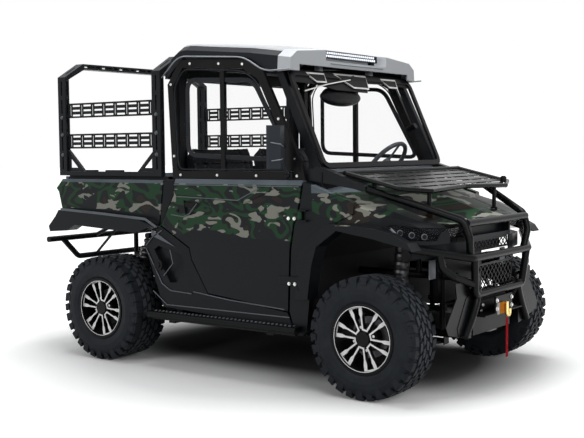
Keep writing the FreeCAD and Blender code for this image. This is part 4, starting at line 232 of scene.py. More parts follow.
def make_floor():
    """White ground with a painted shadow under the vehicle, that fades to plain white far out."""
    mesh = bpy.data.meshes.new("floor")
    corners = [(x * FLOOR_REACH, y * FLOOR_REACH, 0) for x, y in SQUARE]
    mesh.from_pydata(corners, [], [(0, 1, 2, 3)])
    floor = linked("floor", mesh)
    mat, tree, shader, coords = new_material("floor_white", FLOOR_WHITE, 0.9, specular=0.0)
    distance = new_node(tree, "VectorMath", {0: coords}, operation="LENGTH").outputs["Value"]
    fade = new_node(tree, "MapRange", {"Value": distance, "From Min": FLOOR_FADE[0],
                                       "From Max": FLOOR_FADE[1]})
    # The base colour darkens to a painted shadow under the vehicle.
    feed(tree, shader, {"Base Color": mixed(tree, painted_ground_shadow(tree, coords), FLOOR_PAINTED_SHADOW, FLOOR_WHITE),
                        "Emission Color": (1, 1, 1, 1), "Emission Strength": fade.outputs["Result"]})
    dark = new_node(tree, "BsdfDiffuse", {"Color": (*FLOOR_BOUNCE, 1)})
    show_straight(tree, dark, shader, tree.nodes["Material Output"])
    mesh.materials.append(mat)


def make_lights():
    for name, (place, target, width, watts) in LAMPS.items():
        data = bpy.data.lights.new(name, "AREA")
        data.shape = "SQUARE"
        data.size = width
        data.energy = watts
        aim = (Vector(target) - Vector(place)).to_track_quat("-Z", "Y")
        linked(name, data).matrix_world = Matrix.Translation(place) @ aim.to_matrix().to_4x4()


def make_world():
    """Soft grey light, with a white background for the eye, for glass and for gloss."""
    world = bpy.data.worlds.new("world")
    bpy.context.scene.world = world
    world.use_nodes = True
    tree = world.node_tree
    tree.nodes.clear()
    soft = new_node(tree, "Background", {"Color": (*SKY_COLOUR, 1), "Strength": SKY_STRENGTH})
    white = new_node(tree, "Background", {"Color": (1, 1, 1, 1)})
    show_straight(tree, soft, white, new_node(tree, "OutputWorld"))


# Materials
# Noise scales are counts a metre. The other plain numbers are shares and roughness.

METAL_SPECULAR = 0.5
# Depths of surface grain, and radii that soften edges in the shading.
BRUSH_DEPTH = 0.0004
FINE_DEPTH = 0.0005
GRAIN_DEPTH = 0.0006
DEEP_GRAIN = 0.0008
METAL_EDGE = 0.0015
COAT_EDGE = 0.002
BAR_EDGE = 0.003
PANEL_EDGE = 0.004
ROOF_EDGE = 0.006
CHARCOAL = (0.0045, 0.0058, 0.0075)
CAMO_GREEN = (0.014, 0.05, 0.021)
CAMO_DARK = (0.008, 0.009, 0.011)
CAMO_BROWN = (0.022, 0.016, 0.012)
CAMO_TAN = (0.29, 0.29, 0.25)
# Pale greys of the painted sheen that stands for light from above near the top edge of the panels.
CAMO_SHEEN = (0.16, 0.19, 0.215)
CAMO_SHEEN_LOW = (0.11, 0.135, 0.155)
CAMO_STOPS = [(0.0, CAMO_BROWN), (0.36, CAMO_DARK), (0.44, CAMO_GREEN), (0.51, CAMO_DARK),
              (0.58, CAMO_GREEN), (0.66, CAMO_DARK)]
# Lower edge of the pattern as (x, z) in the side view, and the height above which it turns pale grey, a
# painted sheen for the light from above.
DOOR_LINE = [(-0.40, 0.80), (-0.32, 0.795), (-0.18, 0.85), (0.0, 0.852), (0.18, 0.83), (0.62, 0.80)]
FENDER_LINE = [(0.66, 1.9), (0.70, 0.99), (0.78, 0.955), (0.89, 0.915), (0.99, 0.922), (1.13, 0.965),
               (1.24, 1.02), (1.32, 1.9)]
BED_LINE = [(-1.45, 0.95), (-1.3, 0.955), (-0.9, 0.955), (-0.5, 0.93), (-0.35, 0.92)]
HOOD_LINE = [(0.5, 0.1), (1.6, 0.1)]
TAILGATE_LINE = [(-1.4, 0.1), (1.4, 0.1)]
# Heights above which the painted sheen begins.
SIDE_SHEEN_Z = 1.125
FENDER_SHEEN_Z = 1.085
TAILGATE_SHEEN_Z = 1.12
DOOR_WAVE = 0.05
FENDER_WAVE = 0.02
LINE_MARGIN = 0.1
ROOF_BAND_Y = 0.635
# Start and colour of a painted highlight on the front part of the roof.
ROOF_FRONT_X = 0.43
ROOF_FRONT_HIGHLIGHT = (0.62, 0.64, 0.665)
ROOF_BAND = (0.012, 0.014, 0.018)
# Reach and colour of a painted highlight on the outer faces of the front pillars.
PILLAR_Y = 0.69
PILLAR_X = 0.30
PILLAR_HIGHLIGHT = (0.24, 0.265, 0.295)
WORN_RUBBER = (0.05, 0.055, 0.062)
RIM_BLACK = (0.006, 0.006, 0.007)
RIM_BRIGHT = (0.9, 0.9, 0.9)
RIM_BRIGHT_Y = 0.79
RIM_BRIGHT_R0 = 0.0435
RIM_BRIGHT_R1 = 0.1745


def moulded(name, dark, light, roughness, grain=420.0, strength=0.12, edge=BAR_EDGE):
    """Grained moulded plastic with faint broad changes of tone."""
    mat, tree, shader, coords = new_material(name, dark, roughness)
    broad = noise(tree, coords, 3.0, 3.0)
    dress(tree, shader, ramp(tree, broad, [(0.35, dark), (0.65, light)]),
          spread(tree, broad, roughness - 0.05, roughness + 0.07),
          bump(tree, noise(tree, coords, grain), strength, GRAIN_DEPTH, edge))
    return mat


def coated(name, dark, light, roughness, edge=COAT_EDGE):
    """Powder coat or satin paint on metal, with a fine orange-peel surface."""
    mat, tree, shader, coords = new_material(name, dark, roughness)
    broad = noise(tree, coords, 5.0, 4.0)
    dress(tree, shader, ramp(tree, broad, [(0.3, dark), (0.7, light)]),
          spread(tree, broad, roughness - 0.04, roughness + 0.08),
          bump(tree, noise(tree, coords, 260.0, 3.0), 0.08, FINE_DEPTH, edge))
    return mat


def brushed(name, colour, roughness):
    """Bare or plated metal with brushing and faint stains."""
    mat, tree, shader, coords = new_material(name, colour, roughness, 1.0)
    lines = noise(tree, stretched(tree, coords, (30, 400, 400)), 2.0, 3.0)
    low = tuple(value * 0.72 for value in colour)
    dress(tree, shader, ramp(tree, noise(tree, coords, 18.0, 4.0), [(0.3, low), (0.6, colour)]),
          spread(tree, lines, roughness - 0.08, roughness + 0.12),
          bump(tree, lines, 0.06, BRUSH_DEPTH, METAL_EDGE))
    return mat


def camo_colour(tree, coords, painted_sheen):
    """Common woodland pattern: wide green, dark and brown patches with a few tan pieces, and a pale grey
    painted sheen where a mask is given.
    """
    patch = noise(tree, stretched(tree, coords, (0.7, 0.3, 1.15)), 6.0, 1.5, 0.5)
    leaf = noise(tree, stretched(tree, coords, (0.65, 0.3, 1.3)), 13.0, 1.6, 0.7)
    tan = calc(tree, "GREATER_THAN", leaf, 0.6)
    colour = mixed(tree, tan, ramp(tree, patch, CAMO_STOPS, "CONSTANT"), CAMO_TAN)
    if painted_sheen:
        # Painted sheen: pale grey takes the place of the pattern where the mask is set.
        grey = ramp(tree, patch, [(0.3, CAMO_SHEEN), (0.7, CAMO_SHEEN_LOW)])
        colour = mixed(tree, painted_sheen, colour, grey)
    return colour


def line_mask(tree, coords, line, wave):
    """1 above a line of (x, z) points in the side view, which a noise makes wavy."""
    place = axes(tree, coords)
    x0 = line[0][0]
    x1 = line[-1][0]
    z_low = min(z for x, z in line) - LINE_MARGIN
    z_high = max(z for x, z in line) + LINE_MARGIN
    share = calc(tree, "DIVIDE", calc(tree, "SUBTRACT", place["X"], x0), x1 - x0)
    share = calc(tree, "MINIMUM", calc(tree, "MAXIMUM", share, 0.0), 1.0)
    stops = [((x - x0) / (x1 - x0), ((z - z_low) / (z_high - z_low),) * 3) for x, z in line]
    edge = calc(tree, "MULTIPLY", ramp(tree, share, stops), z_high - z_low)
    edge = calc(tree, "ADD", edge, z_low)
    wobble = calc(tree, "SUBTRACT", noise(tree, coords, 9.0, 2.0, 0.4), 0.5)
    edge = calc(tree, "ADD", edge, calc(tree, "MULTIPLY", wobble, wave))
    return calc(tree, "GREATER_THAN", place["Z"], edge)


def camo_paint(name, line, wave=0.0, sheen_z=None, specular=0.12):
    """Charcoal plastic with the pattern above a line, and a pale grey painted sheen near its top edge.
    """
    mat, tree, shader, coords = new_material(name, CHARCOAL, 0.38, specular=specular)
    mask = line_mask(tree, coords, line, wave)
    # Painted sheen above a height, for the light from above.
    painted_sheen = sheen_z and calc(tree, "GREATER_THAN", axes(tree, coords)["Z"], sheen_z)
    dress(tree, shader, mixed(tree, mask, CHARCOAL, camo_colour(tree, coords, painted_sheen)),
          spread(tree, noise(tree, coords, 4.0, 3.0), 0.3, 0.42),
          bump(tree, noise(tree, coords, 380.0), 0.06, FINE_DEPTH, PANEL_EDGE))
    return mat


def base_colour(mat):
    """The node tree and shader of a material, and the socket that colours it."""
    tree = mat.node_tree
    shader = tree.nodes["Principled BSDF"]
    return tree, shader, shader.inputs["Base Color"].links[0].from_socket


def roof_skin(name):
    """Light grey top with a charcoal band along its sides and a paler front part, which is a painted
    highlight.
    """
    mat = moulded(name, (0.42, 0.435, 0.455), (0.47, 0.485, 0.505), 0.34, 500.0, 0.06, ROOF_EDGE)
    tree, shader, top = base_colour(mat)
    place = axes(tree, object_coords(tree))
    side = calc(tree, "GREATER_THAN", calc(tree, "ABSOLUTE", place["Y"]), ROOF_BAND_Y)
    front = calc(tree, "GREATER_THAN", place["X"], ROOF_FRONT_X)
    band = calc(tree, "MULTIPLY", side, calc(tree, "SUBTRACT", 1.0, front))
    # Painted highlight: the front part is paler.
    light = mixed(tree, front, top, ROOF_FRONT_HIGHLIGHT)
    feed(tree, shader, {"Base Color": mixed(tree, band, light, ROOF_BAND)})
    return mat


def cage_paint(name):
    """Black tube paint, with a light grey painted highlight on the outer faces of the front pillars."""
    mat = coated(name, (0.008, 0.009, 0.011), (0.012, 0.013, 0.016), 0.3)
    tree, shader, black = base_colour(mat)
    place = axes(tree, object_coords(tree))
    outer = calc(tree, "GREATER_THAN", calc(tree, "ABSOLUTE", place["Y"]), PILLAR_Y)
    front = calc(tree, "GREATER_THAN", place["X"], PILLAR_X)
    painted_highlight = calc(tree, "MULTIPLY", outer, front)
    feed(tree, shader, {"Base Color": mixed(tree, painted_highlight, black, PILLAR_HIGHLIGHT)})
    return mat


def glass(name, colour, alpha, roughness=0.02):
    mat, tree, shader, coords = new_material(name, colour, roughness)
    smear = noise(tree, coords, 6.0, 4.0)
    feed(tree, shader, {"Alpha": alpha, "Roughness": spread(tree, smear, roughness, roughness + 0.05)})
    return mat


def wheel_place(tree, coords):
    """Square of the distance from the nearer axle in the side view, and the distance out."""
    place = axes(tree, coords)
    to_middle = calc(tree, "ABSOLUTE", calc(tree, "SUBTRACT", place["X"], AXLE_MID_X))
    off = calc(tree, "SUBTRACT", to_middle, WHEELBASE / 2)
    over = calc(tree, "SUBTRACT", place["Z"], HUB_Z)
    square = calc(tree, "ADD", calc(tree, "MULTIPLY", off, off), calc(tree, "MULTIPLY", over, over))
    return square, calc(tree, "ABSOLUTE", place["Y"])


def rubber(name, worn_radius=None):
    """Dusty rubber; with a radius, what lies beyond it is paler."""
    mat, tree, shader, coords = new_material(name, (0.02, 0.021, 0.023), 0.62)
    dust = noise(tree, coords, 14.0, 5.0)
    tone = ramp(tree, dust, [(0.35, (0.014, 0.0165, 0.02)), (0.7, (0.023, 0.0265, 0.031))])
    if worn_radius:
        worn = calc(tree, "GREATER_THAN", wheel_place(tree, coords)[0], worn_radius ** 2)
        tone = mixed(tree, worn, tone, WORN_RUBBER)
    dress(tree, shader, tone, spread(tree, dust, 0.42, 0.62),
          bump(tree, noise(tree, coords, 300.0, 3.0), 0.15, DEEP_GRAIN))
    return mat


def rim_alloy(name):
    """Black wheel whose spokes have machined bright faces; lip and cap stay black."""
    mat, tree, shader, coords = new_material(name, RIM_BLACK, 0.3)
    facing = axes(tree, new_node(tree, "TexCoord").outputs["Normal"])
    square, out = wheel_place(tree, coords)
    flat = calc(tree, "GREATER_THAN", calc(tree, "ABSOLUTE", facing["Y"]), 0.97)
    outer = calc(tree, "GREATER_THAN", out, RIM_BRIGHT_Y)
    ring = calc(tree, "MULTIPLY", calc(tree, "GREATER_THAN", square, RIM_BRIGHT_R0 ** 2),
                calc(tree, "LESS_THAN", square, RIM_BRIGHT_R1 ** 2))
    bright = calc(tree, "MULTIPLY", calc(tree, "MULTIPLY", flat, outer), ring)
    rings = noise(tree, stretched(tree, coords, (90, 20, 90)), 3.0, 3.0)
    dress(tree, shader, mixed(tree, bright, RIM_BLACK, RIM_BRIGHT), spread(tree, rings, 0.24, 0.42),
          bump(tree, rings, 0.05, BRUSH_DEPTH, METAL_EDGE))
    feed(tree, shader, {"Metallic": calc(tree, "MULTIPLY", bright, 0.15)})
    return mat


def vinyl(name):
    mat, tree, shader, coords = new_material(name, (0.02, 0.021, 0.024), 0.5)
    cells = new_node(tree, "TexVoronoi", {"Vector": coords, "Scale": 260.0})
    broad = noise(tree, coords, 8.0, 3.0)
    dress(tree, shader, ramp(tree, broad, [(0.3, (0.016, 0.017, 0.02)), (0.7, (0.03, 0.031, 0.035))]),
          spread(tree, broad, 0.42, 0.6), bump(tree, cells.outputs["Distance"], 0.25, DEEP_GRAIN))
    return mat


def webbing(name, colour):
    mat, tree, shader, coords = new_material(name, colour, 0.75)
    inputs = {"Vector": coords, "Scale": 220.0, "Distortion": 1.5}
    weave = new_node(tree, "TexWave", inputs, bands_direction="Z").outputs["Fac"]
    low = tuple(value * 0.6 for value in colour)
    feed(tree, shader, {"Base Color": ramp(tree, weave, [(0.2, low), (0.7, colour)]),
                        "Normal": bump(tree, weave, 0.4, GRAIN_DEPTH)})
    return mat


def glow(name, colour, strength):
    mat, tree, shader, coords = new_material(name, colour, 0.25)
    feed(tree, shader, {"Emission Color": (*colour, 1), "Emission Strength": strength,
                        "Normal": bump(tree, noise(tree, coords, 150.0, 1.0), 0.1, FINE_DEPTH)})
    return mat


def make_materials():
    return {
        "door": camo_paint("camo_door", DOOR_LINE, DOOR_WAVE, SIDE_SHEEN_Z),
        "bed": camo_paint("camo_bed", BED_LINE, 0.0, SIDE_SHEEN_Z),
        "hood": camo_paint("camo_hood", HOOD_LINE, specular=0.03),
        "fender": camo_paint("camo_fender", FENDER_LINE, FENDER_WAVE, FENDER_SHEEN_Z),
        "tailgate": camo_paint("camo_tailgate", TAILGATE_LINE, 0.0, TAILGATE_SHEEN_Z),
        "plastic": moulded("body_charcoal", (0.005, 0.006, 0.0075), (0.008, 0.0095, 0.0115), 0.34),
        "roof": roof_skin("roof_grey"),
        "frame": coated("chassis_black", (0.004, 0.004, 0.0045), (0.007, 0.007, 0.008), 0.36),
        "rack": coated("rack_black", (0.012, 0.013, 0.015), (0.018, 0.02, 0.023), 0.3, BAR_EDGE),
        "bar": coated("bar_black", (0.0035, 0.004, 0.0045), (0.006, 0.0065, 0.0075), 0.24, BAR_EDGE),
        "cage": cage_paint("cage_paint"),
        "mirror": coated("mirror_grey", (0.035, 0.041, 0.048), (0.045, 0.052, 0.06), 0.34),
        "liner": moulded("bed_black", (0.010, 0.010, 0.012), (0.015, 0.015, 0.017), 0.55, 260.0, 0.3),
        "clear": glass("clear_glass", (0.02, 0.025, 0.03), 0.012),
        "smoke": glass("smoke_glass", (0.012, 0.016, 0.022), 0.018),
        "lens": glass("lamp_lens", (0.02, 0.022, 0.026), 0.35),
        "tyre": rubber("tyre_rubber", TYRE_OD / 2 - LUG_H / 3),
        "rim": rim_alloy("rim_black_bright"),
        "vinyl": vinyl("seat_vinyl"),
        "steel": brushed("dark_steel", (0.08, 0.08, 0.085), 0.4),
        "bronze": brushed("spring_bronze", (0.32, 0.16, 0.06), 0.34),
        "zinc": brushed("zinc_steel", (0.72, 0.72, 0.70), 0.3),
        "gold": brushed("hook_gold", (0.85, 0.66, 0.28), 0.3),
        "strap": webbing("red_webbing", (0.55, 0.015, 0.02)),
        "inner": moulded("interior_grey", (0.07, 0.08, 0.09), (0.09, 0.1, 0.11), 0.5, 300.0, 0.2),
        "trim": moulded("trim_black", (0.004, 0.004, 0.005), (0.007, 0.007, 0.009), 0.35),
        "satin": coated("satin_black", (0.022, 0.025, 0.029), (0.03, 0.033, 0.038), 0.26),
        "grey": coated("satin_grey", (0.15, 0.165, 0.185), (0.19, 0.205, 0.225), 0.34),
        "edge": coated("bright_edge", (0.34, 0.36, 0.39), (0.40, 0.42, 0.45), 0.3),
        "orange": webbing("orange_label", (0.85, 0.28, 0.02)),
        "paper": webbing("white_label", (0.8, 0.8, 0.78)),
        "led": glow("lamp_white", (0.9, 0.93, 1.0), 0.8),
        "brick": rubber("rubber_trim"),
    }


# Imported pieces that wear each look, apart from those named as their look; sides are left out.
NODES_OF_LOOK = {
    "frame": "frame steering_column winch front_arms rear_arms hitch_receiver door_frame",
    "plastic": "skid_plate cab_back side_panels fascia",
    "liner": "floor_pan bed_tub",
    "cage": "roll_cage",
    "clear": "cab_glass",
    "inner": "dashboard steering_wheel",
    "vinyl": "seats",
    "steel": "engine_block shocks drive_line steering_rack knuckle",
    "trim": "light_bar",
    "bar": "step_bars hood_rack bull_bar",
    "fender": "fenders",
    "lens": "headlights",
    "rack": "pillar_feet bed_rack rear_bumper",
    "gold": "winch_hook",
    "strap": "winch_strap",
    "bed": "bed_sides",
    "tyre": "tyre_front tyre_rear",
    "rim": "rim_front rim_rear",
    "door": "door_skin",
    "smoke": "door_glass",
}


def paint_nodes():
    look_of = {name: look for look, names in NODES_OF_LOOK.items() for name in names.split()}
    for name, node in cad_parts.items():
        plain = name.removesuffix("_left").removesuffix("_right")
        node.data.materials.clear()
        node.data.materials.append(looks[look_of.get(plain, plain)])


# Mesh helpers

WASHER_SHARE = 1.35
HEAD_SHARE = 0.7
EASE_SHARE = 0.45
EASE_STEPS = 6


def word(side):
    return "right" if side < 0 else "left"


def shade_smooth(mesh):
    mesh.polygons.foreach_set("use_smooth", [True] * len(mesh.polygons))


def from_bmesh(name, bm, look, body="chassis", smooth=False):
    """Visible piece that rides on a body."""
    mesh = bpy.data.meshes.new(name)
    bmesh.ops.recalc_face_normals(bm, faces=bm.faces)
    bm.to_mesh(mesh)
    bm.free()
    if smooth:
        shade_smooth(mesh)
    piece = linked(name, mesh)
    mesh.materials.append(looks[look])
    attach(piece, body)
    return piece


def add_prism(bm, corners, thickness_vector):
    """Closed prism from a loop of corner points and an offset."""
    low = [bm.verts.new(point) for point in corners]
    high = [bm.verts.new(Vector(point) + Vector(thickness_vector)) for point in corners]
    bm.faces.new(low[::-1])
    bm.faces.new(high)
    count = len(corners)
    for i in range(count):
        j = (i + 1) % count
        bm.faces.new((low[i], low[j], high[j], high[i]))


def add_box(bm, x0, x1, y0, y1, z0, z1):
    add_prism(bm, [(x0, y0, z0), (x1, y0, z0), (x1, y1, z0), (x0, y1, z0)], (0, 0, z1 - z0))


def circle(radius, sides):
    """Round section as (across, over) pairs."""
    turns = [2 * math.pi * i / sides for i in range(sides)]
    return [(radius * math.cos(turn), radius * math.sin(turn)) for turn in turns]


def strip(width, height):
    """Flat section as (across, over) pairs."""
    return [(x * width / 2, y * height / 2) for x, y in SQUARE]


def add_disc(bm, centre, normal, radius, height, sides=ROUND):
    """Short post on a point, along a direction."""
    normal = Vector(normal).normalized()
    turn = normal.to_track_quat("Z", "Y").to_matrix()
    ring = [Vector(centre) + turn @ Vector((a, b, 0)) for a, b in circle(radius, sides)]
    add_prism(bm, ring, normal * height)


def add_sweep(bm, points, section, closed=False, across=None):
    """Section carried along a row of points; across is the direction of its first measure."""
    points = [Vector(point) for point in points]
    count = len(points)
    rings = []
    side = Vector(across) if across else None
    for i, point in enumerate(points):
        before = points[i - 1] if closed or i else point
        after = points[(i + 1) % count] if closed or i < count - 1 else point
        tangent = (after - before).normalized()
        if side is None:
            side = tangent.orthogonal()
        side = (side - tangent * side.dot(tangent)).normalized()
        over = tangent.cross(side)
        rings.append([bm.verts.new(point + side * a + over * b) for a, b in section])
    size = len(section)
    pairs = list(zip(rings, rings[1:]))
    if closed:
        pairs.append((rings[-1], rings[0]))
    for now, after in pairs:
        for i in range(size):
            k = (i + 1) % size
            bm.faces.new((now[i], now[k], after[k], after[i]))
    if not closed:
        bm.faces.new(rings[0][::-1])
        bm.faces.new(rings[-1])


def add_tube(bm, points, radius, sides=COARSE, closed=False):
    add_sweep(bm, points, circle(radius, sides), closed)


def rounded(points, reach, closed=False):
    """The same row of points with each corner eased over a reach on both sides."""
    points = [Vector(point) for point in points]
    count = len(points)
    eased = []
    for i, corner in enumerate(points):
        if not closed and i in (0, count - 1):
            eased.append(corner)
            continue
        back = points[i - 1] - corner
        ahead = points[(i + 1) % count] - corner
        start = corner + back.normalized() * min(reach, back.length * EASE_SHARE)
        end = corner + ahead.normalized() * min(reach, ahead.length * EASE_SHARE)
        for k in range(EASE_STEPS + 1):
            t = k / EASE_STEPS
            eased.append(start * (1 - t) ** 2 + corner * (2 * t * (1 - t)) + end * t ** 2)
    return eased


def add_bolts(bm, places, normal, radius):
    """Hexagon heads on washers."""
    for place in places:
        add_disc(bm, place, normal, radius * WASHER_SHARE, radius / 4)
        top = Vector(place) + Vector(normal).normalized() * radius / 4
        add_disc(bm, top, normal, radius, radius * HEAD_SHARE, HEXAGON)


# Wheels

TYRE_STEPS = 120
# Carcass outline from the bead to the crown: share of the radius, share of the width from the face.
CARCASS = [(0.58, 0.05), (0.64, 0.0), (0.74, -0.02), (0.84, -0.012), (0.93, 0.02), (0.975, 0.08),
           (0.995, 0.2), (1.0, 0.35), (1.0, 0.5)]
CARCASS_LIFT = 0.02
CARCASS_WIDTH = 0.96
TREAD_ROWS = 30
# Middle and width of each column of blocks, as shares of the half width, with its turn in rows.
TREAD_COLUMNS = [(0.13, 0.2, 0.0), (0.41, 0.22, 0.5)]
BLOCK_SPAN = 0.74
BLOCK_SKEW = 0.018
BLOCK_TAPER = 0.0022
BLOCK_ROOT = 0.004
BLOCK_DROP = 0.001
SHOULDER_SHARES = (0.60, 0.965)
SHOULDER_SPANS = (0.68, 0.8)
SHOULDER_SKEW = -0.012
SHOULDER_TAPER = 0.003
SHOULDER_ROOT = 0.006
SHOULDER_DROP = 0.004
SIDE_BLOCK_SHARES = (0.90, 0.985)
SIDE_BLOCK_SPAN = 0.85
SIDE_BLOCK_DEPTHS = (0.026, 0.042)
SIDE_BLOCK_DROP = 0.016
SIDE_BLOCK_TAPER = 0.002


def tyre_profile(width):
    """Carcass outline as (radius, y), from the inner bead to the outer one."""
    radius = TYRE_OD / 2 - LUG_H
    inner_y = TYRE_FACE_Y - width
    half = [(radius * r, width * (y + CARCASS_LIFT) * CARCASS_WIDTH) for r, y in CARCASS]
    ring = [(r, inner_y + y) for r, y in half]
    return ring + [(r, TYRE_FACE_Y - y) for r, y in reversed(half[:-1])]


def on_wheel(axis_x, radius, angle, y):
    return axis_x + radius * math.sin(angle), y, HUB_Z + radius * math.cos(angle)


def add_lug(bm, axis_x, angle, span, r0, r1, y0, y1, skew, taper):
    """One tread block between two radii, over an angle span and a band of y."""
    corners = []
    for radius, shrink in ((r0, 0.0), (r1, taper)):
        for y, shift in ((y0 + shrink, -skew), (y1 - shrink, skew)):
            for sign in SIDES:
                turn = angle + shift + sign * (span / 2 - shrink / radius)
                corners.append(bm.verts.new(on_wheel(axis_x, radius, turn, y)))
    a, b, c, d, e, f, g, h = corners
    for face in ((a, b, d, c), (e, g, h, f), (a, e, f, b), (c, d, h, g), (a, c, g, e), (b, f, h, d)):
        bm.faces.new(face)


def add_carcass(bm, axis_x, width):
    ring = tyre_profile(width)
    loops = []
    for i in range(TYRE_STEPS):
        turn = 2 * math.pi * i / TYRE_STEPS
        loops.append([bm.verts.new(on_wheel(axis_x, r, turn, y)) for r, y in ring])
    for now, after in zip(loops, loops[1:] + loops[:1]):
        for j in range(len(ring) - 1):
            bm.faces.new((now[j], now[j + 1], after[j + 1], after[j]))
        bm.faces.new((now[-1], now[0], after[0], after[-1]))


def make_tyre(name, axis_x, side, width, body):
    bm = bmesh.new()
    add_carcass(bm, axis_x, width)
    top = TYRE_OD / 2
    base = top - LUG_H - BLOCK_ROOT
    step = 2 * math.pi / TREAD_ROWS
    half = width / 2
    mid_y = TYRE_FACE_Y - half
    for i in range(TREAD_ROWS):
        odd = i % 2
        for sign in SIDES:
            a = (i + sign / 4) * step
            for centre, across, turn in TREAD_COLUMNS:
                y = mid_y + sign * half * centre
                reach = half * across / 2
                add_lug(bm, axis_x, a + turn * step, step * BLOCK_SPAN, base, top - BLOCK_DROP,
                        y - reach, y + reach, BLOCK_SKEW * sign, BLOCK_TAPER)
            span = step * SHOULDER_SPANS[odd]
            ends = sorted(mid_y + sign * half * share for share in SHOULDER_SHARES)
            add_lug(bm, axis_x, a, span, base - SHOULDER_ROOT, top - SHOULDER_DROP, *ends,
                    SHOULDER_SKEW * sign, SHOULDER_TAPER)
            ends = sorted(mid_y + sign * half * share for share in SIDE_BLOCK_SHARES)
            add_lug(bm, axis_x, a, span * SIDE_BLOCK_SPAN, base - SIDE_BLOCK_DEPTHS[odd],
                    top - SIDE_BLOCK_DROP, *ends, 0.0, SIDE_BLOCK_TAPER)
    for v in bm.verts:
        v.co.y *= side
    return from_bmesh(name, bm, "tyre", body)


def make_wheels():
    ends = (("front", FRONT_AXLE_X, FRONT_TYRE_W), ("rear", REAR_AXLE_X, REAR_TYRE_W))
    for end, axis_x, width in ends:
        for side in (1, -1):
            place = end + "_" + word(side)
            tyre = make_tyre("tread_" + place, axis_x, side, width, "wheel_" + place)
            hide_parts("tyre_" + place)


# Strap

STRAP_W = 0.027
STRAP_T = 0.0025
STRAP_LENGTH = 0.225
STRAP_POINTS = 10
HOOK_REACH = 0.018
HOOK_DROP = 0.079
HOOK_X = along(1.215) + HOOK_REACH
STRAP_TOP_Z = up(0.232) - HOOK_DROP


def make_strap():
    """Flat webbing that hangs from the winch hook."""
    data = bpy.data.curves.new("strap", "CURVE")
    data.dimensions = "3D"
    spline = data.splines.new("NURBS")
    spline.points.add(STRAP_POINTS - 1)
    for i, point in enumerate(spline.points):
        share = i / (STRAP_POINTS - 1)
        point.co = (HOOK_X, 0, STRAP_TOP_Z - STRAP_LENGTH * share, 1)
    spline.order_u = 3
    spline.use_endpoint_u = True
    path = bpy.data.objects.new("strap_path", data)
    mesh_path = bpy.data.meshes.new_from_object(path)
    places = [v.co.copy() for v in mesh_path.vertices]
    bpy.data.objects.remove(path)
    bm = bmesh.new()
    rings = []
    for place in places:
        ring = [place + Vector((x * STRAP_T / 2, y * STRAP_W / 2, 0)) for x, y in SQUARE]
        rings.append([bm.verts.new(point) for point in ring])
    for now, after in zip(rings, rings[1:]):
        for i in range(len(SQUARE)):
            k = (i + 1) % len(SQUARE)
            bm.faces.new((now[i], now[k], after[k], after[i]))
    bm.faces.new(rings[0][::-1])
    bm.faces.new(rings[-1])
    strap = from_bmesh("strap", bm, "strap")
    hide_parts("winch_strap")


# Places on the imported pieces

TREES = {}
FAR = 3.0


def surface(node, start, direction):
    """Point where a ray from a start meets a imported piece."""
    if node not in TREES:
        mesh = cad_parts[node].data
        TREES[node] = BVHTree.FromPolygons([v.co for v in mesh.vertices],
                                           [face.vertices for face in mesh.polygons])
    return TREES[node].ray_cast(Vector(start), Vector(direction))[0]


def on_side(node, x, z, side):
    return surface(node, (x, side * FAR, z), (0, -side, 0))


def on_front(node, y, z):
    return surface(node, (FAR, y, z), (-1, 0, 0))


def on_top(node, x, y):
    return surface(node, (x, y, FAR), (0, 0, -1))


def side_loop(points, y, side):
    return [(x, side * y, z) for x, z in points]


# Doors

DOOR_FACE_Y = 0.717
SLIDER = [(-0.232, 1.742), (0.270, 1.720), (0.535, 1.262), (-0.232, 1.296)]
SLIDER_BAR = [(0.046, 1.730), (0.046, 1.290)]
SLIDER_Y = 0.705
SLIDER_EASE = 0.07
SLIDER_W = 0.026
SLIDER_T = 0.010
SEAL = [(-0.302, 1.210), (-0.328, 1.701), (-0.252, 1.806), (0.197, 1.776), (0.302, 1.714),
        (0.537, 1.25), (0.546, 1.210)]
SEAL_R = 0.0045
SEAL_EASE = 0.05
FRAME_BOLTS = [(-0.2, 1.836), (0.023, 1.824), (0.2, 1.812), (-0.356, 1.72), (-0.338, 1.29),
               (-0.288, 1.1765), (0.001, 1.1765), (0.293, 1.1765), (0.579, 1.1765), (0.568, 1.271),
               (0.455, 1.494)]
FRAME_BOLT_R = 0.0058
HANDLE_PADDLE = [(-0.345, 1.018), (-0.150, 1.010), (-0.178, 0.982), (-0.335, 0.990)]
HANDLE_Y = 0.733
HANDLE_T = 0.008
# Painted highlight along the lip of the handle recess.
HANDLE_LIP_HIGHLIGHT = [(-0.345, 0.937), (-0.246, 0.927), (-0.197, 0.947), (-0.138, 1.008)]
KEY_PLACE = (-0.292, 0.962)
KEY_R = 0.010
HINGE_BOLT_X = (0.545, 0.585)
HINGE_BOLT_Z = (0.579, 0.943)
HINGE_BOLT_R = 0.0075
# Painted highlights on the door: pale strips along the belt, the lower edge and the crease, with their
# width and rise.
BELT_HIGHLIGHT = [(-0.318, 1.1185), (0.612, 1.1185)]
LOWER_HIGHLIGHT = [(-0.175, 0.4795), (0.104, 0.4515), (0.505, 0.430)]
CREASE_HIGHLIGHT = [(-0.298, 1.0475), (0.175, 1.034), (0.330, 1.104)]
HIGHLIGHT_W = 0.0055
HIGHLIGHT_RISE = 0.003
# Painted highlights behind the door: a pale wedge and pale strips along the edges of the side recess.
WEDGE_HIGHLIGHT = [(-0.513, 0.842), (-0.513, 0.803), (-0.315, 0.741)]
WEDGE_T = 0.0015
SIDE_HIGHLIGHTS = [[(-0.560, 0.722), (-0.430, 0.512), (-0.360, 0.473), (-0.190, 0.466)],
              [(-0.425, 0.838), (-0.507, 0.791), (-0.560, 0.740)],
              [(-0.505, 0.462), (-0.392, 0.384), (0.540, 0.388)],
              [(-0.360, 0.722), (-0.338, 0.640), (-0.415, 0.560)]]
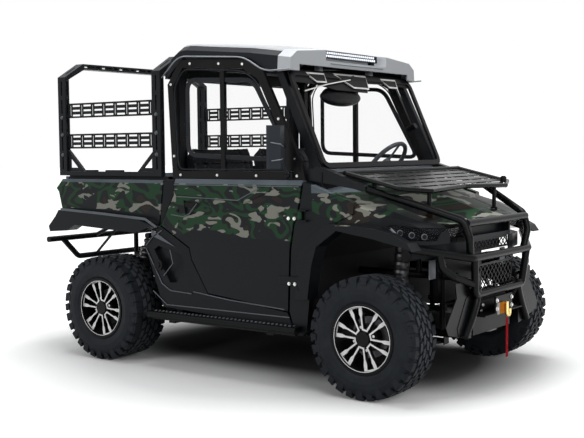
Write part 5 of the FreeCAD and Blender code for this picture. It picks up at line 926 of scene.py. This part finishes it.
# Painted highlight along the top edge of the bed flare.
FLARE_HIGHLIGHT = [(-1.300, 0.9455), (-0.930, 0.9285), (-0.533, 0.906), (-0.442, 0.860)]
FLARE_Y = 0.779
FLARE_HIGHLIGHT_W = 0.016
CAP_PLACE = (-0.455, 0.625)
CAP_R = 0.034
CAP_T = 0.012
CAP_SIDES = 28


def add_highlight_strips(bm, lines, y, side, width=HIGHLIGHT_W):
    """Thin raised strips on a side face, which paint highlights along edges and creases."""
    for line in lines:
        add_sweep(bm, side_loop(line, y, side), strip(HIGHLIGHT_RISE, width), False, ACROSS)


def make_door_parts(side):
    body = "door_" + word(side)
    skin = "door_skin_" + word(side)
    out_way = (0, side, 0)
    bm = bmesh.new()
    slider = strip(SLIDER_T, SLIDER_W)
    add_sweep(bm, rounded(side_loop(SLIDER, SLIDER_Y, side), SLIDER_EASE, True), slider, True, ACROSS)
    add_sweep(bm, side_loop(SLIDER_BAR, SLIDER_Y, side), slider, False, ACROSS)
    from_bmesh("window_slider_" + word(side), bm, "satin", body)
    bm = bmesh.new()
    add_tube(bm, rounded(side_loop(SEAL, DOOR_FACE_Y, side), SEAL_EASE, True), SEAL_R, closed=True)
    from_bmesh("window_seal_" + word(side), bm, "brick", body, smooth=True)
    bm = bmesh.new()
    add_bolts(bm, side_loop(FRAME_BOLTS, DOOR_FACE_Y, side), out_way, FRAME_BOLT_R)
    places = [on_side(skin, x, z, side) for x in HINGE_BOLT_X for z in HINGE_BOLT_Z]
    add_bolts(bm, places, out_way, HINGE_BOLT_R)
    from_bmesh("door_bolts_" + word(side), bm, "zinc", body)
    bm = bmesh.new()
    add_prism(bm, side_loop(HANDLE_PADDLE, HANDLE_Y, side), (0, side * HANDLE_T, 0))
    add_disc(bm, on_side(skin, *KEY_PLACE, side), out_way, KEY_R, HANDLE_T / 2)
    from_bmesh("door_handle_" + word(side), bm, "trim", body)
    bm = bmesh.new()
    # Pale strips that paint highlights along the handle lip, lower edge, crease and belt.
    add_highlight_strips(bm, (HANDLE_LIP_HIGHLIGHT, LOWER_HIGHLIGHT, CREASE_HIGHLIGHT, BELT_HIGHLIGHT), HALF_BODY, side)
    from_bmesh("door_painted_highlights_" + word(side), bm, "grey", body)


def make_side_parts(side):
    bm = bmesh.new()
    # Pale wedge and strips: painted highlights.
    add_prism(bm, side_loop(WEDGE_HIGHLIGHT, HALF_BODY, side), (0, side * WEDGE_T, 0))
    add_highlight_strips(bm, SIDE_HIGHLIGHTS, HALF_BODY, side)
    from_bmesh("side_painted_highlights_" + word(side), bm, "grey")
    bm = bmesh.new()
    add_highlight_strips(bm, [FLARE_HIGHLIGHT], FLARE_Y, side, FLARE_HIGHLIGHT_W)
    from_bmesh("flare_painted_highlight_" + word(side), bm, "grey", "bed")
    bm = bmesh.new()
    place = on_side("side_panels", *CAP_PLACE, side)
    add_disc(bm, place, (0, side, 0), CAP_R, CAP_T, CAP_SIDES)
    add_disc(bm, place + Vector((0, side * CAP_T, 0)), (0, side, 0), CAP_R / 2, CAP_T / 2, HEXAGON)
    from_bmesh("side_cap_" + word(side), bm, "trim")


# Seats

SEAT_SIDES = (0.040, 0.613)
SEAT_BASE_SHARES = [(0.285, 0.1), (0.285, 0.305), (0.5, 0.325), (0.53, 0.305), (0.53, 0.1)]
CUSHION_SHARES = [(0.3, 0.3066), (0.3, 0.365), (0.53, 0.385), (0.548, 0.365), (0.545, 0.328),
                  (0.5, 0.3252)]
BACKREST_SHARES = [(0.3, 0.3652), (0.272, 0.66), (0.3, 0.685), (0.322, 0.65), (0.36, 0.42),
                   (0.365, 0.3709)]
BACKREST_FACING = (1, 0, 0.2)
SEAT_VOXEL = 0.012
SEAT_INSET = 0.016
SEAT_SWELL = 0.015
CLOTH_PRESSURE = 4.0
CLOTH_FRAMES = 20
CHANNEL_W = 0.009
CHANNEL_DEPTH = 0.007
FACING_START = 0.6
CUSHION_SEAMS = [(0, along(share)) for share in (0.37, 0.415, 0.46, 0.505)]
BACKREST_SEAMS = [(2, up(share)) for share in (0.44, 0.49, 0.54, 0.59)]
BOLSTER_W = 0.095
BASE_EDGE = 0.012


def applied(piece):
    """Takes the shape that the modifiers give into the mesh and drops them."""
    graph = bpy.context.evaluated_depsgraph_get()
    mesh = bpy.data.meshes.new_from_object(piece.evaluated_get(graph))
    piece.modifiers.clear()
    piece.data = mesh


def swell(piece):
    """Cloth under pressure, stopped where a point has moved as far as the foam allows."""
    start = [v.co.copy() for v in piece.data.vertices]
    cloth = piece.modifiers.new("cloth", "CLOTH")
    cloth.settings.use_pressure = True
    cloth.settings.uniform_pressure_force = CLOTH_PRESSURE
    cloth.settings.effector_weights.gravity = 0.0
    for step in range(1, CLOTH_FRAMES + 1):
        bpy.context.scene.frame_set(step)
    applied(piece)
    for v, place in zip(piece.data.vertices, start):
        move = v.co - place
        if move.length > SEAT_SWELL:
            v.co = place + move.normalized() * SEAT_SWELL
    bpy.context.scene.frame_set(1)


def sew_channels(piece, facing, lines):
    """Sewn lines on the faces that look one way; a line is an axis and a value on it."""
    piece.data.update()
    moves = []
    for v in piece.data.vertices:
        off = min(abs(v.co[axis] - value) for axis, value in lines) / CHANNEL_W
        depth = CHANNEL_DEPTH * math.exp(-off * off)
        share = min(1.0, max(0.0, v.normal.dot(facing) * 2 - FACING_START))
        moves.append(v.normal * (-depth * share))
    for v, move in zip(piece.data.vertices, moves):
        v.co += move


def make_cushion(name, shares, y0, y1, facing, lines):
    bm = bmesh.new()
    add_prism(bm, [(along(x), y0, up(z)) for x, z in shares], (0, y1 - y0, 0))
    piece = from_bmesh(name, bm, "vinyl")
    grid = piece.modifiers.new("grid", "REMESH")
    grid.mode = "VOXEL"
    grid.voxel_size = SEAT_VOXEL
    applied(piece)
    for v in piece.data.vertices:
        v.co -= v.normal * SEAT_INSET
    swell(piece)
    smooth = piece.modifiers.new("smooth", "SUBSURF")
    smooth.levels = 1
    applied(piece)
    sew_channels(piece, Vector(facing), lines)
    shade_smooth(piece.data)
    return piece


def make_seats():
    """Two padded seats on one moulded base."""
    low = min(v.co.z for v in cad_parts["seats"].data.vertices)
    outer = SEAT_SIDES[1]
    bm = bmesh.new()
    add_prism(bm, [(along(x), -outer, max(low, up(z))) for x, z in SEAT_BASE_SHARES], (0, outer * 2, 0))
    bmesh.ops.bevel(bm, geom=bm.edges[:], offset=BASE_EDGE, segments=3, affect="EDGES", profile=0.5)
    pieces = [from_bmesh("seat_base", bm, "liner", smooth=True)]
    for side in SIDES:
        y0, y1 = sorted(side * y for y in SEAT_SIDES)
        bolsters = [(1, y0 + BOLSTER_W), (1, y1 - BOLSTER_W)]
        pieces.append(make_cushion("seat_cushion_" + word(side), CUSHION_SHARES, y0, y1, UPWARD,
                                   bolsters + CUSHION_SEAMS))
        pieces.append(make_cushion("seat_back_" + word(side), BACKREST_SHARES, y0, y1, BACKREST_FACING,
                                   bolsters + BACKREST_SEAMS))
    for piece in pieces:
        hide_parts("seats")


# Mirror

MIRROR_FOOT = [(0.468, 1.205), (0.602, 1.205), (0.588, 1.290), (0.545, 1.375), (0.505, 1.330)]
MIRROR_FOOT_T = 0.005
MIRROR_BALL = (0.532, -0.742, 1.1766)
MIRROR_BALL_R = 0.0165
MIRROR_RIBS = [[(-0.895, 1.362), (-0.835, 1.352), (-0.790, 1.340)],
               [(-0.890, 1.262), (-0.835, 1.268), (-0.800, 1.272)]]
MIRROR_RIB_R = 0.003


def make_mirror_parts():
    bm = bmesh.new()
    add_prism(bm, side_loop(MIRROR_FOOT, DOOR_FACE_Y, -1), (0, -MIRROR_FOOT_T, 0))
    ball = Matrix.Translation(MIRROR_BALL)
    bmesh.ops.create_uvsphere(bm, u_segments=ROUND, v_segments=BALL_RINGS, radius=MIRROR_BALL_R,
                              matrix=ball)
    from_bmesh("mirror_foot", bm, "trim", "door_right")
    bm = bmesh.new()
    for rib in MIRROR_RIBS:
        add_tube(bm, [on_front("mirror_right", y, z) for y, z in rib], MIRROR_RIB_R)
    from_bmesh("mirror_ribs", bm, "edge", "door_right")


# Windshield and roof

GLASS_FOOT = Vector((along(0.8305), 0, up(0.6097)))
GLASS_HEAD = Vector((along(0.697), 0, up(0.908)))
GLASS_UP = (GLASS_HEAD - GLASS_FOOT).normalized()
GLASS_OUT = Vector((GLASS_UP.z, 0, -GLASS_UP.x))
GLASS_HALF = 0.671
GLASS_FRAME_W = 0.032
GLASS_FRAME_T = 0.016
GLASS_FRAME_EASE = 0.05
VALANCE = [(-0.66, 1.700), (-0.42, 1.694), (-0.24, 1.668), (0.105, 1.664), (0.125, 1.722),
           (0.40, 1.728), (0.66, 1.712), (0.66, 1.776), (-0.66, 1.776)]
VALANCE_T = 0.006
PLATES = [[(-0.505, 1.752), (-0.325, 1.754), (-0.330, 1.706), (-0.430, 1.704)],
          [(-0.225, 1.760), (0.130, 1.760), (0.115, 1.684), (-0.050, 1.684)],
          [(0.300, 1.752), (0.480, 1.752), (0.475, 1.704), (0.375, 1.704)]]
PLATE_OUT = 0.014
PLATE_RIM_W = 0.011
PLATE_RIM_T = 0.006
CLAMP_Y = (-0.385, 0.385)
CLAMP_HALF = 0.045
CLAMP_LOW = 1.758
CLAMP_HIGH = 1.812
CLAMP_OUT = 0.030
CLAMP_BOLT_R = 0.012
WIPER_BLADE = [(-0.600, 1.640), (-0.340, 1.690), (-0.075, 1.728)]
WIPER_ARM = [(-0.340, 1.690), (-0.020, 1.752)]
WIPER_OUT = 0.024
WIPER_R = 0.0042
DOME_PLACE = (-0.12, 1.655)
DOME_IN = 0.055
DOME_SIZE = (0.035, 0.215, 0.055)
KNOB_PLACE = (0.49, 1.455)
KNOB_R = 0.020
KNOB_T = 0.03
# Pale tubes along the sides of the roof: painted highlights on its edges.
ROOF_HIGHLIGHT = [(-0.4117, 1.762), (-0.277, 1.882), (0.227, 1.849), (0.372, 1.761), (0.545, 1.767)]
ROOF_LINE_R = 0.0045
ROOF_SIDE_Y = 0.7345
ROOF_HIGHLIGHT_EASE = 0.06
LED_COUNT = 24
LED_HALF = 0.265
LED_ROWS = (1.872, 1.890)
LED_X = 0.471
LED_R = 0.0068
LED_T = 0.004
VISOR_Z = (1.848, 1.822)
VISOR_HALF = 0.29


def on_glass(y, z, lift=0.0):
    """Point over the windshield at a height and a place across, lifted off the glass."""
    share = (z - GLASS_FOOT.z) / (GLASS_HEAD.z - GLASS_FOOT.z)
    place = GLASS_FOOT.lerp(GLASS_HEAD, share) + GLASS_OUT * lift
    return Vector((place.x, y, place.z))


def make_windshield_parts():
    half = GLASS_HALF - GLASS_FRAME_W / 2
    low = GLASS_FOOT.z + GLASS_FRAME_W
    high = GLASS_HEAD.z - GLASS_FRAME_W
    corners = [(-half, low), (-half, high), (half, high), (half, low)]
    bm = bmesh.new()
    loop = rounded([on_glass(y, z, GLASS_FRAME_T / 2) for y, z in corners], GLASS_FRAME_EASE, True)
    add_sweep(bm, loop, strip(GLASS_FRAME_T, GLASS_FRAME_W), True, GLASS_OUT)
    add_prism(bm, [on_glass(y, z) for y, z in VALANCE], GLASS_OUT * VALANCE_T)
    for plate in PLATES:
        add_prism(bm, [on_glass(y, z) for y, z in plate], GLASS_OUT * PLATE_OUT)
    from_bmesh("windshield_frame", bm, "trim")
    bm = bmesh.new()
    for plate in PLATES:
        loop = [on_glass(y, z, PLATE_OUT) for y, z in plate]
        add_sweep(bm, loop, strip(PLATE_RIM_T, PLATE_RIM_W), True, GLASS_OUT)
    add_tube(bm, [on_glass(y, z, WIPER_OUT) for y, z in WIPER_BLADE], WIPER_R)
    from_bmesh("windshield_bright", bm, "zinc")
    bm = bmesh.new()
    add_tube(bm, [on_glass(y, z, WIPER_OUT) for y, z in WIPER_ARM], WIPER_R)
    dome = Matrix.Translation(on_glass(*DOME_PLACE, -DOME_IN)) @ Matrix.Diagonal((*DOME_SIZE, 1))
    bmesh.ops.create_uvsphere(bm, u_segments=DOME_SIDES, v_segments=DOME_RINGS, radius=1, matrix=dome)
    add_disc(bm, on_glass(*KNOB_PLACE, -KNOB_T), GLASS_OUT, KNOB_R, KNOB_T * 2, MEDIUM)
    from_bmesh("windshield_dark", bm, "trim")


def make_clamps():
    bm = bmesh.new()
    bolts = bmesh.new()
    for y in CLAMP_Y:
        x = on_front("roof", y, CLAMP_HIGH - CLAMP_OUT / 2).x
        add_box(bm, x - CLAMP_OUT, x + CLAMP_OUT, y - CLAMP_HALF, y + CLAMP_HALF, CLAMP_LOW, CLAMP_HIGH)
        add_disc(bolts, (x + CLAMP_OUT, y, (CLAMP_LOW + CLAMP_HIGH) / 2), FORWARD, CLAMP_BOLT_R,
                 CLAMP_BOLT_R / 2)
    from_bmesh("glass_clamps", bm, "trim")
    from_bmesh("glass_clamp_bolts", bolts, "zinc")


def make_roof_parts():
    bm = bmesh.new()
    for side in SIDES:
        # Painted highlights along the roof sides.
        add_tube(bm, rounded(side_loop(ROOF_HIGHLIGHT, ROOF_SIDE_Y, side), ROOF_HIGHLIGHT_EASE), ROOF_LINE_R)
    from_bmesh("roof_painted_highlights", bm, "edge", smooth=True)
    bm = bmesh.new()
    pitch = 2 * LED_HALF / (LED_COUNT - 1)
    for row, z in enumerate(LED_ROWS):
        for i in range(LED_COUNT - row):
            y = i * pitch + row * pitch / 2 - LED_HALF
            add_disc(bm, (LED_X, y, z), FORWARD, LED_R, LED_T, COARSE)
    from_bmesh("light_bar_lamps", bm, "led")
    bm = bmesh.new()
    for z in VISOR_Z:
        add_tube(bm, [on_front("roof", y, z) for y in (-VISOR_HALF, VISOR_HALF)], ROOF_LINE_R)
    from_bmesh("roof_visor_lines", bm, "edge", smooth=True)


# Front

PROJECTORS = [(1.215, 0.884), (1.272, 0.873), (1.325, 0.864)]
PROJECTOR_WAY = (0.75, 0.66, 0)
PROJECTOR_R = 0.0165
PROJECTOR_T = 0.006
CRESCENT = [(1.170, 0.905), (1.215, 0.856)]
CRESCENT_W = 0.012
SILVER_X = 1.268
SILVER_Y = (0.402, 0.470)
SILVER_Z = (0.618, 0.722)
SILVER_T = 0.004
SHOCK_FOOT = (0.45, 0.452)
FRONT_SHOCK_HEAD = (0.375, 0.850)
REAR_SHOCK_HEAD = (0.375, 0.725)
SHOCK_SLEEVE_R = 0.0262
SHOCK_SLEEVE_SHARES = (0.42, 0.84)
# Range of x, half width and range of z of the radiator, its shroud, and the nose and under plates.
BACKING_BOXES = [((1.185, 1.215), 0.27, (0.46, 0.835)), ((1.135, 1.142), 0.53, (0.71, 0.925)),
                 ((1.325, 1.330), 0.27, (0.745, 0.838)), ((1.405, 1.412), 0.235, (0.295, 0.405))]
LEG_TUBE = [(1.452, 0.262, 0.560), (1.452, 0.262, 0.505), (1.450, 0.315, 0.415), (1.445, 0.395, 0.312)]
LEG_TUBE_R = 0.021
LEG_SKIN = [(0.275, 0.600), (0.480, 0.610), (0.465, 0.530), (0.585, 0.390), (0.560, 0.345),
            (0.400, 0.310), (0.310, 0.420), (0.262, 0.510)]
LEG_SKIN_X = 1.428
LEG_SKIN_T = 0.005
LEG_TUBE_EASE = 0.05
DECK_KNOB_PLACE = (1.205, 0.590)
DECK_KNOB_R = 0.019
DECK_KNOB_H = 0.030
LABEL_X = 1.4865
# Look and range of y of the plain label and of its edge.
LABELS = {"winch_label": ("orange", (-0.060, 0.030)), "winch_label_edge": ("paper", (-0.088, -0.060))}
LABEL_Z = (0.398, 0.462)
LABEL_T = 0.0022
FAIRLEAD_BOLTS = [(-0.094, 0.478), (0.094, 0.478), (-0.094, 0.432), (0.094, 0.432)]
FAIRLEAD_BOLT_R = 0.009
WINCH_FACE_BOLTS = [(-0.147, 0.456), (-0.147, 0.424), (0.147, 0.456), (0.147, 0.424)]
WINCH_BOLT_R = 0.008


def make_lamp_parts(side):
    name = word(side)
    way = (PROJECTOR_WAY[0], side * PROJECTOR_WAY[1], 0)
    bm = bmesh.new()
    lenses = bmesh.new()
    for x, z in PROJECTORS:
        place = on_side("headlights", x, z, side)
        add_disc(bm, place, way, PROJECTOR_R, PROJECTOR_T, FINE)
        add_disc(lenses, place + Vector(way) * PROJECTOR_T, way, PROJECTOR_R * 3 / 4, PROJECTOR_T / 2)
    from_bmesh("headlight_rings_" + name, bm, "grey")
    from_bmesh("headlight_glass_" + name, lenses, "trim")
    bm = bmesh.new()
    line = [on_side("headlights", x, z, side) for x, z in CRESCENT]
    add_sweep(bm, line, strip(CRESCENT_W, CRESCENT_W / 2), False, FORWARD)
    from_bmesh("headlight_crescent_" + name, bm, "edge")


def make_shock_sleeves():
    """Bronze bodies inside the coils."""
    bm = bmesh.new()
    for axle_x, head in ((FRONT_AXLE_X, FRONT_SHOCK_HEAD), (REAR_AXLE_X, REAR_SHOCK_HEAD)):
        for side in SIDES:
            foot = Vector((axle_x, side * SHOCK_FOOT[0], SHOCK_FOOT[1]))
            top = Vector((axle_x, side * head[0], head[1]))
            add_tube(bm, [foot.lerp(top, share) for share in SHOCK_SLEEVE_SHARES], SHOCK_SLEEVE_R, FINE)
    from_bmesh("shock_sleeves", bm, "bronze", smooth=True)


def make_front_backing():
    """Dark radiator with its shroud behind the grilles, and the lower tubes of the bumper."""
    bm = bmesh.new()
    for x_range, half, z_range in BACKING_BOXES:
        add_box(bm, *x_range, -half, half, *z_range)
    from_bmesh("radiator", bm, "trim")
    bm = bmesh.new()
    for side in SIDES:
        tube = rounded([(x, side * y, z) for x, y, z in LEG_TUBE], LEG_TUBE_EASE)
        add_tube(bm, tube, LEG_TUBE_R, ROUND)
        add_prism(bm, [(LEG_SKIN_X, side * y, z) for y, z in LEG_SKIN], (LEG_SKIN_T, 0, 0))
    from_bmesh("bumper_leg_tubes", bm, "bar")


def make_front_parts():
    bm = bmesh.new()
    for side in SIDES:
        y0, y1 = sorted(side * y for y in SILVER_Y)
        add_box(bm, SILVER_X, SILVER_X + SILVER_T, y0, y1, *SILVER_Z)
    from_bmesh("front_plates", bm, "edge")
    bm = bmesh.new()
    place = on_top("hood_rack", *DECK_KNOB_PLACE)
    add_disc(bm, place, UPWARD, DECK_KNOB_R, DECK_KNOB_H, MEDIUM)
    place.z += DECK_KNOB_H
    add_disc(bm, place, UPWARD, DECK_KNOB_R * HEAD_SHARE, DECK_KNOB_H / 5, MEDIUM)
    from_bmesh("hood_rack_knobs", bm, "trim")
    for name, (look, y_range) in LABELS.items():
        bm = bmesh.new()
        add_box(bm, LABEL_X, LABEL_X + LABEL_T, *y_range, *LABEL_Z)
        from_bmesh(name, bm, look)
    bm = bmesh.new()
    add_bolts(bm, [(LABEL_X, y, z) for y, z in FAIRLEAD_BOLTS], FORWARD, FAIRLEAD_BOLT_R)
    add_bolts(bm, [on_front("winch", y, z) for y, z in WINCH_FACE_BOLTS], FORWARD, WINCH_BOLT_R)
    from_bmesh("winch_bolts", bm, "zinc")


# Step bars, bed and rack

STEP_PLATE_TOP = 0.346
STEP_PLATE_X = (-0.47, 0.60)
STEP_HOLE_Y = (0.757, 0.779)
STEP_HOLE_PITCH = 0.030
STEP_HOLE_R = 0.0075
STEP_HOLE_T = 0.0012
RACK_BOLT_R = 0.009
HOOP_X = (-1.345, -0.491)
HOOP_BOLT_Z = (1.300, 1.432, 1.545)


def make_step_parts():
    bm = bmesh.new()
    start, end = STEP_PLATE_X
    count = round((end - start) / STEP_HOLE_PITCH)
    for side in SIDES:
        for row, y in enumerate(STEP_HOLE_Y):
            for i in range(count - row):
                x = start + (i + row / 2) * STEP_HOLE_PITCH
                add_disc(bm, (x, side * y, STEP_PLATE_TOP), UPWARD, STEP_HOLE_R, STEP_HOLE_T, COARSE)
    from_bmesh("step_studs", bm, "grey")


def make_rack_bolts():
    bm = bmesh.new()
    for side in SIDES:
        places = [on_side("bed_rack", x, z, side) for x in HOOP_X for z in HOOP_BOLT_Z]
        add_bolts(bm, places, (0, side, 0), RACK_BOLT_R)
    from_bmesh("rack_bolts", bm, "grey", "bed")


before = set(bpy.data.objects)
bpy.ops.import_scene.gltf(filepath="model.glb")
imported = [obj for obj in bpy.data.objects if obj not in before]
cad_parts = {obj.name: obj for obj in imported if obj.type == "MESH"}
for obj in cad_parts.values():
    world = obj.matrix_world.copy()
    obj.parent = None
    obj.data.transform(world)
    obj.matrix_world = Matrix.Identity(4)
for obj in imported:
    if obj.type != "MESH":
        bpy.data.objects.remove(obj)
bpy.context.scene.view_settings.view_transform = "Standard"
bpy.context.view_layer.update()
looks = make_materials()
make_camera()
make_floor()
make_lights()
make_world()
paint_nodes()
make_strap()
make_seats()
make_wheels()
for side in SIDES:
    make_door_parts(side)
    make_side_parts(side)
    make_lamp_parts(side)
make_mirror_parts()
make_windshield_parts()
make_clamps()
make_roof_parts()
make_shock_sleeves()
make_front_backing()
make_front_parts()
make_step_parts()
make_rack_bolts()
